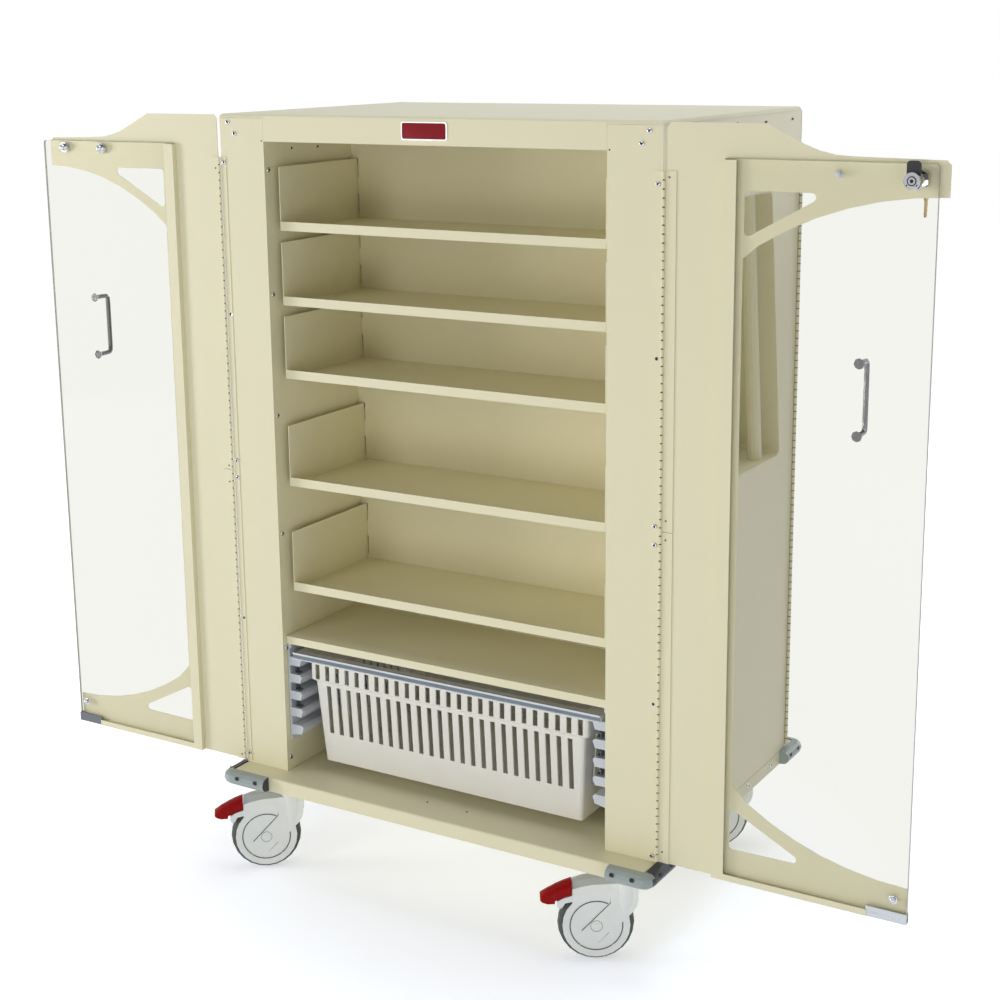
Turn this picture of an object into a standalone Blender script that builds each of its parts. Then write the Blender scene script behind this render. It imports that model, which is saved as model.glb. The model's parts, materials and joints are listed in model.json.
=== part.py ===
"""Suture cart: a two-sided storage cabinet on four braked casters, as an assembly of separate solids.

Metres, +Z up, the front faces -Y, the ground is z = 0. Both front doors stand wide open and both rear
doors are shut. Every solid is one closed body with its own material, and about 0.3 mm of air parts
two pieces that touch on the real cart.
"""

import math

import bmesh
import bpy
from mathutils import Matrix, Vector
from mathutils.geometry import interpolate_bezier

# Sheet metal and fits
SHEET = 0.0015
GAP = 0.0003
BEVEL_ROUND = 0.5
FRONT, REAR = -1, 1
LEFT, RIGHT = -1, 1

# Cabinet box, standing on the base pan
WIDTH = 0.813
DEPTH = 0.5335
BASE_TOP = 0.194
BOX_HEIGHT = 1.1476
BOX_TOP = BASE_TOP + BOX_HEIGHT
HALF_W = WIDTH / 2
HALF_D = DEPTH / 2
STILE = 0.0903
INNER = HALF_W - STILE
BAND = 0.0066
BAND_RADIUS = 0.006
SHELL_TOP = BOX_TOP - BAND
HEADER_TALL = 0.044
HEADER_LOW = BOX_TOP - HEADER_TALL
HEADER_LIP = 0.015

# Base pan: an inverted tray with a closed channel over each pair of casters
BASE_DEEP = 0.025
BASE_OUT = 0.040
BASE_HALF_D = HALF_D + BASE_OUT
BASE_LOW = BASE_TOP - BASE_DEEP
BASE_EDGE = 0.003
CHANNEL_WIDE = 0.145

# Corner bumpers: a D section swept round each corner of the pan
BUMPER_OUT = 0.018
BUMPER_TALL = 0.0255
BUMPER_PROUD = 0.001
BUMPER_TOP = BASE_TOP + BUMPER_PROUD
BUMPER_LOW = BUMPER_TOP - BUMPER_TALL
BUMPER_SHORT = 0.061
BUMPER_LONG = 0.078
BUMPER_BEND = BASE_EDGE
BUMPER_STEPS = 4
BULGE_POWER = 0.7

# Grip recess in each side: a trapezoid pocket with two slanted bars.
# The shares are of the box height, then of half the depth.
GRIP_RISE_SHARES = (0.4871, 0.8862)
GRIP_HALF_SHARES = (0.7835, 0.5586)
BAR_FOOT_SHARES = (0.5736, 0.3674)
GRIP_LOW, GRIP_HIGH = (BASE_TOP + BOX_HEIGHT * share for share in GRIP_RISE_SHARES)
GRIP_HALF_LOW, GRIP_HALF_HIGH = (HALF_D * share for share in GRIP_HALF_SHARES)
BAR_LOW_OUT, BAR_HIGH_OUT = (HALF_D * share for share in BAR_FOOT_SHARES)
GRIP_DEEP = 0.075
GRIP_CORNER = 0.010
BAR_RADIUS = 0.0125
BAR_WALL = 0.002
BAR_IN = 0.023
BAR_SIDES = 12

# Small holes along the top of each side sheet: (share of half the depth, length)
SIDE_HOLE_DOWN = 0.0146
SIDE_HOLE_TALL = 0.004
SIDE_HOLE_SHARES = ((0.0, 0.004), (0.427, 0.010), (0.855, 0.010))

# Fixed shelf over the basket bay
FIXED_RISE = 0.2495
FIXED_TOP = BASE_TOP + FIXED_RISE
FIXED_LIP = 0.0135
FIXED_IN = 0.010

# Divider: one slotted panel per face of the cart
DIVIDER_HALF = 0.02175
PANEL_IN = HALF_D - DIVIDER_HALF
PANEL_FLANGE = 0.026
SLOT_FOOT = 0.0295
SLOT_HEAD = 0.0121
SLOT_COUNT = 13
SLOT_FIRST = FIXED_TOP + SLOT_FOOT
SLOT_PITCH = (HEADER_LOW - SLOT_HEAD - SLOT_FIRST) / SLOT_COUNT
SLOT_TALL = 0.033
SLOT_WIDE = 0.005

# Shelves hang from the slots, each given by the slot that takes its lower hooks
SHELF_SIDE = 0.0117
SHELF_HALF = INNER - SHELF_SIDE
SHELF_FRONT_IN = 0.022
SHELF_BACK_IN = PANEL_IN - GAP
SHELF_LIP = 0.015
SHELF_END_SHARE = 1.68
SHELF_END_TALL = SLOT_PITCH * SHELF_END_SHARE
SHELF_UNDER_SLOT = 0.010
HOOK_REACH = 0.008
HOOK_TALL = 0.020
HOOK_FIRST = 0.012
FRONT_SHELF_SLOTS = (11, 9, 7, 4, 1)
REAR_SHELF_SLOTS = (11, 8, 5, 2)

# Basket: a tapered slotted tub with a wider band under a flat rim, which runs in the rails
RIM_SIDE = 0.0127
RIM_HALF = INNER - RIM_SIDE
RIM_IN = 0.010
RIM_LONG_SHARE = 0.75
RIM_LONG = DEPTH * RIM_LONG_SHARE
RIM_UNDER_SHELF = 0.0375
RIM_LOW = FIXED_TOP - RIM_UNDER_SHELF
RIM_TALL = 0.009
RIM_WING = 0.029
RIM_BAR_IN = 0.006
RIM_BAR_DOWN = 0.005
TUB_HALF = RIM_HALF - RIM_WING
TUB_IN = 0.012
TUB_DEEP = 0.190
TUB_LOW = RIM_LOW - TUB_DEEP
TUB_WALL = 0.0025
TUB_FLOOR = 0.003
TUB_ROUND = 0.005
# How far the body stands in from the band, as (at each end of the tub, at its front and back)
BODY_TOP_IN = (0.008, 0.003)
BODY_LOW_IN = (0.018, 0.013)
BAND_LOW_SHARE = 0.784
BAND_LOW = TUB_LOW + TUB_DEEP * BAND_LOW_SHARE
BAND_EASE = 0.003
TUB_SLOT_WIDE = 0.009
TUB_SLOT_PITCH = 0.0208
UPPER_SLOT_SHARES = (0.808, 0.950)
LOWER_SLOT_SHARES = (0.284, 0.753)
UPPER_SLOTS = tuple(TUB_LOW + TUB_DEEP * share for share in UPPER_SLOT_SHARES)
LOWER_SLOTS = tuple(TUB_LOW + TUB_DEEP * share for share in LOWER_SLOT_SHARES)
UPPER_FRONT_COUNT = int(TUB_HALF * 2 / TUB_SLOT_PITCH)
LOWER_FRONT_COUNT = int((TUB_HALF - BODY_LOW_IN[0]) * 2 / TUB_SLOT_PITCH)
LOWER_SIDE_COUNT = int((RIM_LONG - (TUB_IN + BODY_LOW_IN[1]) * 2) / TUB_SLOT_PITCH) - 1

# Basket rails: a comb of runners on each wall
RAIL_DEEP = 0.155
RAIL_LOW = RIM_LOW - RAIL_DEEP
RAIL_HIGH = FIXED_TOP - FIXED_LIP - GAP
RAIL_BACK = 0.004
RAIL_TOOTH = 0.0285
RAIL_PITCH = 0.0315
RAIL_GROOVE = 0.0158
RAIL_GROOVES = 5
RAIL_ROUND = 0.004
RAIL_IN = 0.012
RAIL_OVER = 0.010
RAIL_LONG = RIM_LONG + RAIL_OVER

# Doors, given in the open pose: u runs out from the cabinet side, v towards the rear, z up
PIN_U = 0.0025
PIN_V = -0.003
KNUCKLE = 0.0027
KNUCKLE_SIDES = 8
LEAF_THICK = 0.0012
LEAF_FIRST = 0.0045
LEAF_LAST = 0.022
CABINET_LEAF = (0.0, 0.011)
DOOR_LIFT = 0.004
DOOR_DROP = 0.0016
DOOR_LOW = BASE_TOP + DOOR_LIFT
DOOR_HIGH = BOX_TOP - DOOR_DROP
DOOR_NEAR = 0.0065
DOOR_STRAP = 0.1255
HINGE_DROP = 0.0706
HINGE_LOW = DOOR_LOW
HINGE_HIGH = BOX_TOP - HINGE_DROP
HINGE_SPLIT_SHARE = 0.4986
HINGE_SPLIT = HINGE_LOW + (HINGE_HIGH - HINGE_LOW) * HINGE_SPLIT_SHARE
HINGE_NICK = 0.0006
CORNER_ROUND = 0.006
FILLET_STEPS = 3

# Pane, and the folded post and bottom rail that hold it
PANE_THICK = 0.006
PANE_LIFT = 0.0022
PANE_DROP = 0.0506
PANE_LOW = DOOR_LOW + PANE_LIFT
PANE_HIGH = BOX_TOP - PANE_DROP
PANE_NEAR = 0.0994
PANE_END = {LEFT: HALF_W - 0.0095, RIGHT: HALF_W - 0.0025}
POST_NEAR = 0.0975
POST_FAR = 0.117
POST_FACE = 0.0093
POST_HIGH = PANE_HIGH - SHEET
JRAIL_SHORT = 0.0615
JRAIL_FAR = HALF_W - JRAIL_SHORT
JRAIL_LIP = 0.010
JRAIL_HIGH = DOOR_LOW + JRAIL_LIP

# Arms of the doors, measured down from the box top and up from the base pan
ARM_END = {LEFT: HALF_W - 0.0220, RIGHT: HALF_W + 0.0115}
RISE_US = (0.1575, 0.215, 0.235, 0.285)
RISE_DROP = 0.028
RISE_STEPS = 6
ARM_DROPS = {"top": 0.0436, "end": 0.0458, "low": 0.0946, "foot": 0.1706, "strap": 0.1906}
ARM_TOP, ARM_END_TOP, ARM_LOW = (BOX_TOP - ARM_DROPS[key] for key in ("top", "end", "low"))
ARM_FOOT_U = 0.150
UPPER_FOOT = (ARM_FOOT_U, BOX_TOP - ARM_DROPS["foot"])
UPPER_STRAP = BOX_TOP - ARM_DROPS["strap"]
LOWER_RISES = {"arm": 0.0575, "foot": 0.1345, "strap": 0.160}
LOWER_ARM_TOP = BASE_TOP + LOWER_RISES["arm"]
LOWER_FOOT = (ARM_FOOT_U, BASE_TOP + LOWER_RISES["foot"])
LOWER_STRAP = BASE_TOP + LOWER_RISES["strap"]
LOWER_ARM_SHORT = 0.002
ARC_STEPS = 6
# Window corners: (u, drop from the box top), then (u, rise over the base pan)
UPPER_WINDOW = ((0.1265, 0.0944), (0.1265, 0.1630), (0.2500, 0.0951))
LOWER_WINDOW = ((0.1225, 0.1220), (0.1225, 0.0540), (0.2500, 0.0555))
WINDOW_ROUND = 0.006

# Door handles: a bent bar with flared feet on the outer face of the pane
HANDLE_SHORT = 0.1045
HANDLE_U = HALF_W - HANDLE_SHORT
HANDLE_SHARE = 0.6257
HANDLE_LONG = 0.103
HANDLE_LOW = BASE_TOP + BOX_HEIGHT * HANDLE_SHARE
HANDLE_REACH = 0.033
HANDLE_RADIUS = 0.004
HANDLE_FOOT = 0.008
HANDLE_BEND = 0.014
FLARE_LONG = 0.006
HANDLE_SIDES = 8
HANDLE_BEND_STEPS = 4

# Lock on the right front door
LOCK_SHORT = 0.0285
LOCK_U = HALF_W - LOCK_SHORT
LOCK_DROP = 0.0711
LOCK_Z = BOX_TOP - LOCK_DROP
LOCK_RADIUS = 0.0110
LOCK_FLANGE = 0.0140
LOCK_FLANGE_THICK = 0.0030
LOCK_NUT = 0.0150
LOCK_NUT_THICK = 0.0050
LOCK_REACH = 0.0300
LOCK_BORE = 0.0040
LOCK_SIDES = 16
SPINDLE = 0.0037
CAM_HALF = 0.0095
CAM_THICK = 0.0030
CAM_TAIL_SHARE = 1.1
CAM_UNDER = 0.0008
CAM_TIP = HEADER_LOW - CAM_UNDER
END_BOSS = 0.0115
END_BOSS_LONG = 0.006
KEY_BOW = 0.0115
KEY_THICK = 0.0026
KEY_REACH = 0.0260
KEY_NECK = 0.0040
KEY_HOLE = 0.0035

# Casters, in their own frame: u along the rolling direction, z from the wheel's centre
WHEEL_RADIUS = 0.0625
STEM_IN = 0.0702
STEM_BACK = 0.0722
TRAIL = 0.0470
STEM_RADIUS = 0.0221
STEM_TOP = BASE_LOW - WHEEL_RADIUS - GAP
STEM_SHANK = 0.045
STEM_FOOT = 0.0145
STEM_SLOPE = 1.0
CASTER_YAW = {
    (LEFT, FRONT): 38.9,
    (RIGHT, FRONT): 31.4,
    (LEFT, REAR): 35.0,
    (RIGHT, REAR): 33.0,
}
TYRE_HALF = 0.0130
TYRE_SHOULDER = 0.0560
RIM_HALF_WIDE = 0.0105
HUB_BORE = 0.0056
WELL_RADIUS = 0.0655
WELL_HALF = 0.0136
COVER_RADIUS = 0.0548
COVER_HALF = 0.0166
ARM_HALF = 0.0186
AXLE_RADIUS = 0.0050
AXLE_CAP_HALF = 0.0194
ARM_OUTLINE = (
    (0.0242, 0.0740), (0.0242, 0.0600), (0.0224, 0.0389), (-0.0231, -0.0089), (-0.0215, -0.0190),
    (-0.0130, -0.0275), (0.0016, -0.0303), (0.0195, -0.0116), (0.0416, 0.0063), (0.0521, 0.0169),
    (0.0594, 0.0248), (0.0650, 0.0340), (0.0673, 0.0430), (0.0673, 0.0740),
)
# Hood stations: (u, bottom, crest, half width)
HOOD_STATIONS = (
    (0.0470, 0.0500, 0.0830, 0.0190),
    (0.0200, 0.0490, 0.0840, 0.0196),
    (-0.0060, 0.0470, 0.0835, 0.0196),
    (-0.0250, 0.0430, 0.0800, 0.0194),
    (-0.0390, 0.0400, 0.0750, 0.0190),
)
SHOE_OUTLINE = (
    (-0.0370, 0.0530), (-0.0530, 0.0480), (-0.0630, 0.0425), (-0.0630, 0.0345), (-0.0600, 0.0290),
    (-0.0555, 0.0310), (-0.0502, 0.0393), (-0.0219, 0.0449),
)
SHOE_HALF = 0.0160
PEDAL_STATIONS = (
    (-0.0400, 0.0560, 0.0747, 0.0190),
    (-0.0530, 0.0510, 0.0700, 0.0190),
    (-0.0665, 0.0445, 0.0640, 0.0188),
    (-0.0672, 0.0395, 0.0637, 0.0188),
    (-0.0790, 0.0390, 0.0570, 0.0180),
    (-0.0870, 0.0410, 0.0508, 0.0165),
    (-0.0905, 0.0435, 0.0478, 0.0140),
)
PEDAL_PIVOT = (-0.0440, 0.0600)
DOME_SHARE = 0.35
DOME_STEPS = 6
ROUND_STEPS = 24
SMALL_STEPS = 12
WELL_STEPS = 16
STEM_STEPS = 20

# The parts spread unevenly to left and right, so the frame is centred on their whole reach
REACH_LEFT = HALF_W + max(ARM_END[LEFT], PANE_END[LEFT])
REACH_RIGHT = HALF_W + max(ARM_END[RIGHT], PANE_END[RIGHT])
SHIFT = (REACH_RIGHT - REACH_LEFT) / 2

COLOURS = {
    "paint": ((0.78, 0.74, 0.56), 0.32, 0.0),
    "basket": ((0.72, 0.70, 0.62), 0.40, 0.0),
    "rail": ((0.60, 0.62, 0.65), 0.45, 0.0),
    "bumper": ((0.25, 0.28, 0.28), 0.50, 0.0),
    "clear": ((0.90, 0.92, 0.92), 0.05, 0.0),
    "chrome": ((0.70, 0.70, 0.72), 0.12, 1.0),
    "brass": ((0.72, 0.55, 0.25), 0.25, 1.0),
    "black": ((0.03, 0.03, 0.03), 0.40, 0.0),
    "caster": ((0.70, 0.72, 0.70), 0.35, 0.0),
    "tyre": ((0.10, 0.11, 0.11), 0.70, 0.0),
    "pedal": ((0.45, 0.02, 0.02), 0.35, 0.0),
}


def clear_scene():
    for obj in list(bpy.data.objects):
        bpy.data.objects.remove(obj, do_unlink=True)


def new_collection(name):
    collection = bpy.data.collections.new(name)
    bpy.context.scene.collection.children.link(collection)
    return collection


clear_scene()
CART = new_collection("suture_cart")
CUTTERS = new_collection("cutters")
FRAME = bpy.data.objects.new("cart_frame", None)
FRAME.location = (-SHIFT, 0, 0)
CART.objects.link(FRAME)


def material_for(name, look):
    colour, roughness, metallic = COLOURS[look]
    made = bpy.data.materials.new(f"{name}_{look}")
    made.use_nodes = True
    shader = made.node_tree.nodes["Principled BSDF"]
    shader.inputs["Base Color"].default_value = (*colour, 1)
    shader.inputs["Roughness"].default_value = roughness
    shader.inputs["Metallic"].default_value = metallic
    if look == "clear":
        shader.inputs["Transmission Weight"].default_value = 1
    return made


# Mesh building blocks


def box(bm, xs, ys, zs):
    """Adds a box that spans the three (low, high) pairs, and returns its vertices."""
    made = bmesh.ops.create_cube(bm, size=1)["verts"]
    for vertex in made:
        for axis, (low, high) in enumerate((sorted(xs), sorted(ys), sorted(zs))):
            vertex.co[axis] = low + (vertex.co[axis] + 0.5) * (high - low)
    return made


def prism(bm, outline, low, high, place):
    """Adds the outline, a list of pairs, extruded from low to high. place gives (a, b, depth) as a point."""
    rings = [[bm.verts.new(place(a, b, depth)) for a, b in outline] for depth in (low, high)]
    bm.faces.new(rings[0])
    bm.faces.new(rings[1][::-1])
    for i, vertex in enumerate(rings[0]):
        after = (i + 1) % len(outline)
        bm.faces.new((rings[0][after], vertex, rings[1][i], rings[1][after]))


def loft(bm, rings):
    """Joins rings of points, all of one length, and closes both ends."""
    loops = [[bm.verts.new(point) for point in ring] for ring in rings]
    for near, far in zip(loops, loops[1:]):
        for i, vertex in enumerate(near):
            after = (i + 1) % len(near)
            bm.faces.new((vertex, near[after], far[after], far[i]))
    bm.faces.new(loops[0][::-1])
    bm.faces.new(loops[-1])


def turned(bm, profile, steps=ROUND_STEPS):
    """Spins a closed profile of (distance from the Y axis, place along it) pairs once round."""
    along = Vector((0, 1, 0))
    vertices = [bm.verts.new((r, s, 0)) for r, s in profile]
    edges = [bm.edges.new((a, b)) for a, b in zip(vertices, vertices[1:] + vertices[:1])]
    bmesh.ops.spin(
        bm, geom=vertices + edges, cent=Vector(), axis=along, angle=math.tau, steps=steps, use_merge=True
    )


def rod(bm, start, end, radius, sides=ROUND_STEPS):
    """Adds a closed cylinder between two points."""
    run = end - start
    turn = run.to_track_quat("Z", "Y").to_matrix().to_4x4()
    bmesh.ops.create_cone(
        bm,
        cap_ends=True,
        segments=sides,
        radius1=radius,
        radius2=radius,
        depth=run.length,
        matrix=Matrix.Translation((start + end) / 2) @ turn,
    )


def rounded(points, radius, steps=FILLET_STEPS):
    """The outline with each corner replaced by an arc of the given radius."""
    outline = []
    for i, point in enumerate(points):
        corner = Vector(point)
        before = (Vector(points[i - 1]) - corner).normalized()
        after = (Vector(points[(i + 1) % len(points)]) - corner).normalized()
        half = before.angle(after) / 2
        centre = corner + (before + after).normalized() * (radius / math.sin(half))
        first = corner + before * (radius / math.tan(half)) - centre
        last = corner + after * (radius / math.tan(half)) - centre
        sweep = first.angle(last)
        for step in range(steps + 1):
            t = step / steps
            curve = first * math.sin((1 - t) * sweep) + last * math.sin(t * sweep)
            outline.append(tuple(centre + curve / math.sin(sweep)))
    return outline


def level_arc(start, end, steps=ARC_STEPS):
    """A circular arc that leaves start level and runs up or down to end, as pairs."""
    run, rise = end[0] - start[0], end[1] - start[1]
    radius = (run**2 + rise**2) / (2 * abs(rise))
    sweep = math.asin(abs(run) / radius)
    across, up = math.copysign(radius, run), math.copysign(radius, rise)
    turns = [sweep * step / steps for step in range(steps + 1)]
    return [(start[0] + across * math.sin(t), start[1] + up * (1 - math.cos(t))) for t in turns]


def tube_rings(path, radii, sides):
    """Rings round a path of points, kept square to it at every bend."""
    rings = []
    for i, point in enumerate(path):
        ahead = (path[min(i + 1, len(path) - 1)] - point).normalized()
        behind = (point - path[max(i - 1, 0)]).normalized()
        along = (ahead + behind).normalized()
        side = Vector((1, 0, 0))
        up = along.cross(side).normalized()
        turns = [math.tau * k / sides for k in range(sides)]
        rings.append([point + (side * math.cos(t) + up * math.sin(t)) * radii[i] for t in turns])
    return rings


# Objects, cutters and joints


def solid(name, bm, look, pivot=None, smooth=False):
    """Closes the mesh into a named object in the cart, with its origin at pivot."""
    bmesh.ops.recalc_face_normals(bm, faces=bm.faces)
    mesh = bpy.data.meshes.new(name)
    bm.to_mesh(mesh)
    bm.free()
    origin = Vector((0, 0, 0)) if pivot is None else Vector(pivot)
    mesh.transform(Matrix.Translation(-origin))
    mesh.materials.append(material_for(name, look))
    made = bpy.data.objects.new(name, mesh)
    made.parent = FRAME
    made.location = origin
    CART.objects.link(made)
    if smooth:
        mesh.shade_smooth()
        mesh.set_sharp_from_angle(angle=math.radians(40))
    return made


def helper(name, bm, parent=FRAME):
    """A shape that only a Boolean uses."""
    bmesh.ops.recalc_face_normals(bm, faces=bm.faces)
    mesh = bpy.data.meshes.new(name)
    bm.to_mesh(mesh)
    bm.free()
    made = bpy.data.objects.new(name, mesh)
    made.parent = parent
    made.hide_render = True
    made.display_type = "WIRE"
    CUTTERS.objects.link(made)
    return made


def combine(target, operation, bm, parent=FRAME):
    """Adds an exact Boolean to the target with the shape in bm."""
    modifier = target.modifiers.new(f"{operation.lower()}_{len(target.modifiers)}", "BOOLEAN")
    modifier.object = helper(f"{target.name}_{modifier.name}", bm, parent)
    modifier.operation = operation
    modifier.solver = "EXACT"


def along_z(a, b, depth):
    return Vector((a, b, depth))


def along_x(a, b, depth):
    return Vector((depth, a, b))


def along_y(a, b, depth):
    return Vector((a, depth, b))


# Base pan, top pan and side shells


def make_base_pan():
    bm = bmesh.new()
    box(bm, (-HALF_W, HALF_W), (-BASE_HALF_D, BASE_HALF_D), (BASE_LOW, BASE_TOP))
    edges = [edge for edge in bm.edges if any(v.co.z > BASE_TOP - GAP for v in edge.verts)]
    bmesh.ops.bevel(bm, geom=edges, offset=BASE_EDGE, segments=2, profile=BEVEL_ROUND, affect="EDGES")
    pan = solid("base_pan", bm, "paint")
    hollow = bmesh.new()
    reach = HALF_W - CHANNEL_WIDE
    inside = BASE_HALF_D - SHEET
    box(hollow, (-reach, reach), (-inside, inside), (BASE_LOW - SHEET, BASE_TOP - SHEET))
    combine(pan, "DIFFERENCE", hollow)


def make_top_pan():
    bm = bmesh.new()
    box(bm, (-HALF_W, HALF_W), (-HALF_D, HALF_D), (SHELL_TOP + GAP, BOX_TOP))
    edges = [e for e in bm.edges if all(v.co.z > BOX_TOP - GAP for v in e.verts)]
    bmesh.ops.bevel(bm, geom=edges, offset=BAND_RADIUS, segments=4, profile=BEVEL_ROUND, affect="EDGES")
    pan = solid("top_pan", bm, "paint", smooth=True)
    hollow = bmesh.new()
    inside_x, inside_y = HALF_W - BAND_RADIUS, HALF_D - BAND_RADIUS
    box(hollow, (-inside_x, inside_x), (-inside_y, inside_y), (SHELL_TOP - SHEET, BOX_TOP - SHEET))
    combine(pan, "DIFFERENCE", hollow)
    for face in (FRONT, REAR):
        combine(pan, "UNION", header(face))


def header(face):
    """The flange over one opening: down from the top, then a lip turned inwards."""
    bm = bmesh.new()
    outer, inner = face * HALF_D, face * (HALF_D - SHEET)
    lip = face * (HALF_D - HEADER_LIP)
    hang = face * (HALF_D - BAND_RADIUS - SHEET)
    web = SHELL_TOP + BAND - SHEET * 2
    outline = [
        (outer, HEADER_LOW), (lip, HEADER_LOW), (lip, HEADER_LOW + SHEET), (inner, HEADER_LOW + SHEET),
        (inner, SHELL_TOP + GAP * 2), (hang, SHELL_TOP + GAP * 2), (hang, web), (outer, web),
    ]
    prism(bm, outline, -INNER + GAP, INNER - GAP, along_x)
    return bm


def side_name(side):
    return "left" if side == LEFT else "right"


def make_side_shell(side):
    """Side sheet and both stile faces in one folded sheet, with the hinge leaves standing on the stiles."""
    front = [
        (HALF_W, -HALF_D), (INNER, -HALF_D), (INNER, -HALF_D + SHEET), (HALF_W - SHEET, -HALF_D + SHEET),
    ]
    ring = front + [(x, -y) for x, y in reversed(front)]
    bm = bmesh.new()
    prism(bm, [(side * x, y) for x, y in ring], BASE_TOP + GAP, SHELL_TOP, along_z)
    shell = solid(f"{side_name(side)}_side_shell", bm, "paint")
    near, far = (side * (HALF_W - inset) for inset in CABINET_LEAF)
    leaves = bmesh.new()
    for face in (FRONT, REAR):
        on_face = (face * (HALF_D - SHEET / 2), face * (HALF_D + LEAF_THICK))
        box(leaves, (near, far), on_face, (HINGE_LOW, HINGE_HIGH))
    combine(shell, "UNION", leaves)
    cutter = bmesh.new()
    prism(cutter, grip_outline(0), side * (HALF_W - GRIP_DEEP), side * (HALF_W + SHEET), along_x)
    for share, length in SIDE_HOLE_SHARES:
        low = SHELL_TOP - SIDE_HOLE_DOWN
        row = HALF_D * share
        along = (row - length / 2, row + length / 2)
        box(cutter, (side * (HALF_W - BAND), side * (HALF_W + BAND)), along, (low, low + SIDE_HOLE_TALL))
    combine(shell, "DIFFERENCE", cutter)


def grip_outline(inset):
    """The recess seen from the side, as (y, z) pairs, drawn in by inset."""
    low, high = GRIP_LOW + inset, GRIP_HIGH - inset
    wide, narrow = GRIP_HALF_LOW - inset, GRIP_HALF_HIGH - inset
    return rounded([(-wide, low), (wide, low), (narrow, high), (-narrow, high)], GRIP_CORNER)


def make_grip_pocket(side):
    bm = bmesh.new()
    prism(bm, grip_outline(GAP), side * (HALF_W - GRIP_DEEP), side * HALF_W, along_x)
    pocket = solid(f"{side_name(side)}_grip_pocket", bm, "paint")
    hollow = bmesh.new()
    floor = side * (HALF_W - GRIP_DEEP + SHEET)
    prism(hollow, grip_outline(GAP + SHEET), floor, side * (HALF_W + SHEET), along_x)
    combine(pocket, "DIFFERENCE", hollow)


def make_grip_bar(side, face):
    """A slanted tube, cut level at both ends to meet the floor and the roof of the pocket."""
    low, high = GRIP_LOW + SHEET + GAP * 2, GRIP_HIGH - SHEET - GAP * 2
    ends = ((face * BAR_LOW_OUT, low), (face * BAR_HIGH_OUT, high))
    x = side * (HALF_W - BAR_IN)

    def ring(y, z, radius):
        turns = [math.tau * k / BAR_SIDES for k in range(BAR_SIDES)]
        return [Vector((x + radius * math.cos(t), y + radius * math.sin(t), z)) for t in turns]

    bm = bmesh.new()
    loft(bm, [ring(*end, BAR_RADIUS) for end in ends])
    name = f"{side_name(side)}_grip_bar_{'front' if face == FRONT else 'rear'}"
    bar = solid(name, bm, "paint", smooth=True)
    bore = bmesh.new()
    (y_low, _), (y_high, _) = ends
    over = ((y_low, low), (y_high, high))
    loft(bore, [ring(y, z + lift, BAR_RADIUS - BAR_WALL) for (y, z), lift in zip(over, (-SHEET, SHEET))])
    combine(bar, "DIFFERENCE", bore)


def make_inner_wall(side):
    """The flat liner behind the stiles, which closes the side box towards the shelves."""
    bm = bmesh.new()
    face = side * (INNER + GAP)
    along = HALF_D - SHEET - GAP
    box(bm, (face, face + side * SHEET), (-along, along), (BASE_TOP + GAP, SHELL_TOP))
    solid(f"{side_name(side)}_inner_wall", bm, "paint")


# Divider, shelves and fixed shelf


def make_back_panel(face):
    """A slotted panel with a foot that is screwed to the fixed shelf."""
    near = face * (HALF_D - PANEL_IN)
    far = near - face * SHEET
    toe = near + face * PANEL_FLANGE
    foot = FIXED_TOP + GAP
    outline = [
        (near, SHELL_TOP), (near, foot + SHEET), (toe, foot + SHEET),
        (toe, foot), (far, foot), (far, SHELL_TOP),
    ]
    bm = bmesh.new()
    prism(bm, outline, -INNER + GAP, INNER - GAP, along_x)
    panel = solid("front_back_panel" if face == FRONT else "rear_back_panel", bm, "paint")
    slots = bmesh.new()
    centre = SHELF_HALF - SHEET / 2
    for x in (-centre, centre):
        for k in range(SLOT_COUNT):
            low = SLOT_FIRST + k * SLOT_PITCH
            across = (x - SLOT_WIDE / 2, x + SLOT_WIDE / 2)
            box(slots, across, (near + face * SHEET, far - face * SHEET), (low, low + SLOT_TALL))
    combine(panel, "DIFFERENCE", slots)


def make_shelf(name, face, slot):
    """Tray with a raised front lip and tall ends, whose hooks sit in the panel's slots."""
    floor = SLOT_FIRST + slot * SLOT_PITCH - SHELF_UNDER_SLOT
    front = face * (HALF_D - SHELF_FRONT_IN)
    back = face * (HALF_D - SHELF_BACK_IN)
    inner_lip = front - face * SHEET
    tray = [
        (front, floor), (front, floor + SHELF_LIP), (inner_lip, floor + SHELF_LIP),
        (inner_lip, floor + SHEET), (back, floor + SHEET), (back, floor),
    ]
    bm = bmesh.new()
    prism(bm, tray, -SHELF_HALF, SHELF_HALF, along_x)
    shelf = solid(name, bm, "paint")
    ends = bmesh.new()
    for side in (LEFT, RIGHT):
        wall = (side * SHELF_HALF, side * (SHELF_HALF - SHEET))
        prism(ends, end_plate(face, front, back, floor), *wall, along_x)
    combine(shelf, "UNION", ends)


def end_plate(face, front, back, floor):
    """A shelf's end seen from the side: a tall plate with two hooks on its rear edge."""
    top = floor + SHELF_END_TALL
    hook = back - face * HOOK_REACH
    outline = [(front, floor), (front, top), (back, top)]
    for k in (1, 0):
        low = floor + HOOK_FIRST + k * SLOT_PITCH
        high = low + HOOK_TALL
        outline += [(back, high), (hook, high), (hook, low), (back, low)]
    return outline + [(back, floor)]


def make_fixed_shelf():
    reach, lip = HALF_D - FIXED_IN, FIXED_TOP - FIXED_LIP
    inner = reach - SHEET
    outline = [
        (-reach, FIXED_TOP), (-reach, lip), (-inner, lip), (-inner, FIXED_TOP - SHEET),
        (inner, FIXED_TOP - SHEET), (inner, lip), (reach, lip), (reach, FIXED_TOP),
    ]
    bm = bmesh.new()
    prism(bm, outline, -INNER + GAP, INNER - GAP, along_x)
    solid("fixed_shelf", bm, "paint")


# Basket and rails


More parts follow.
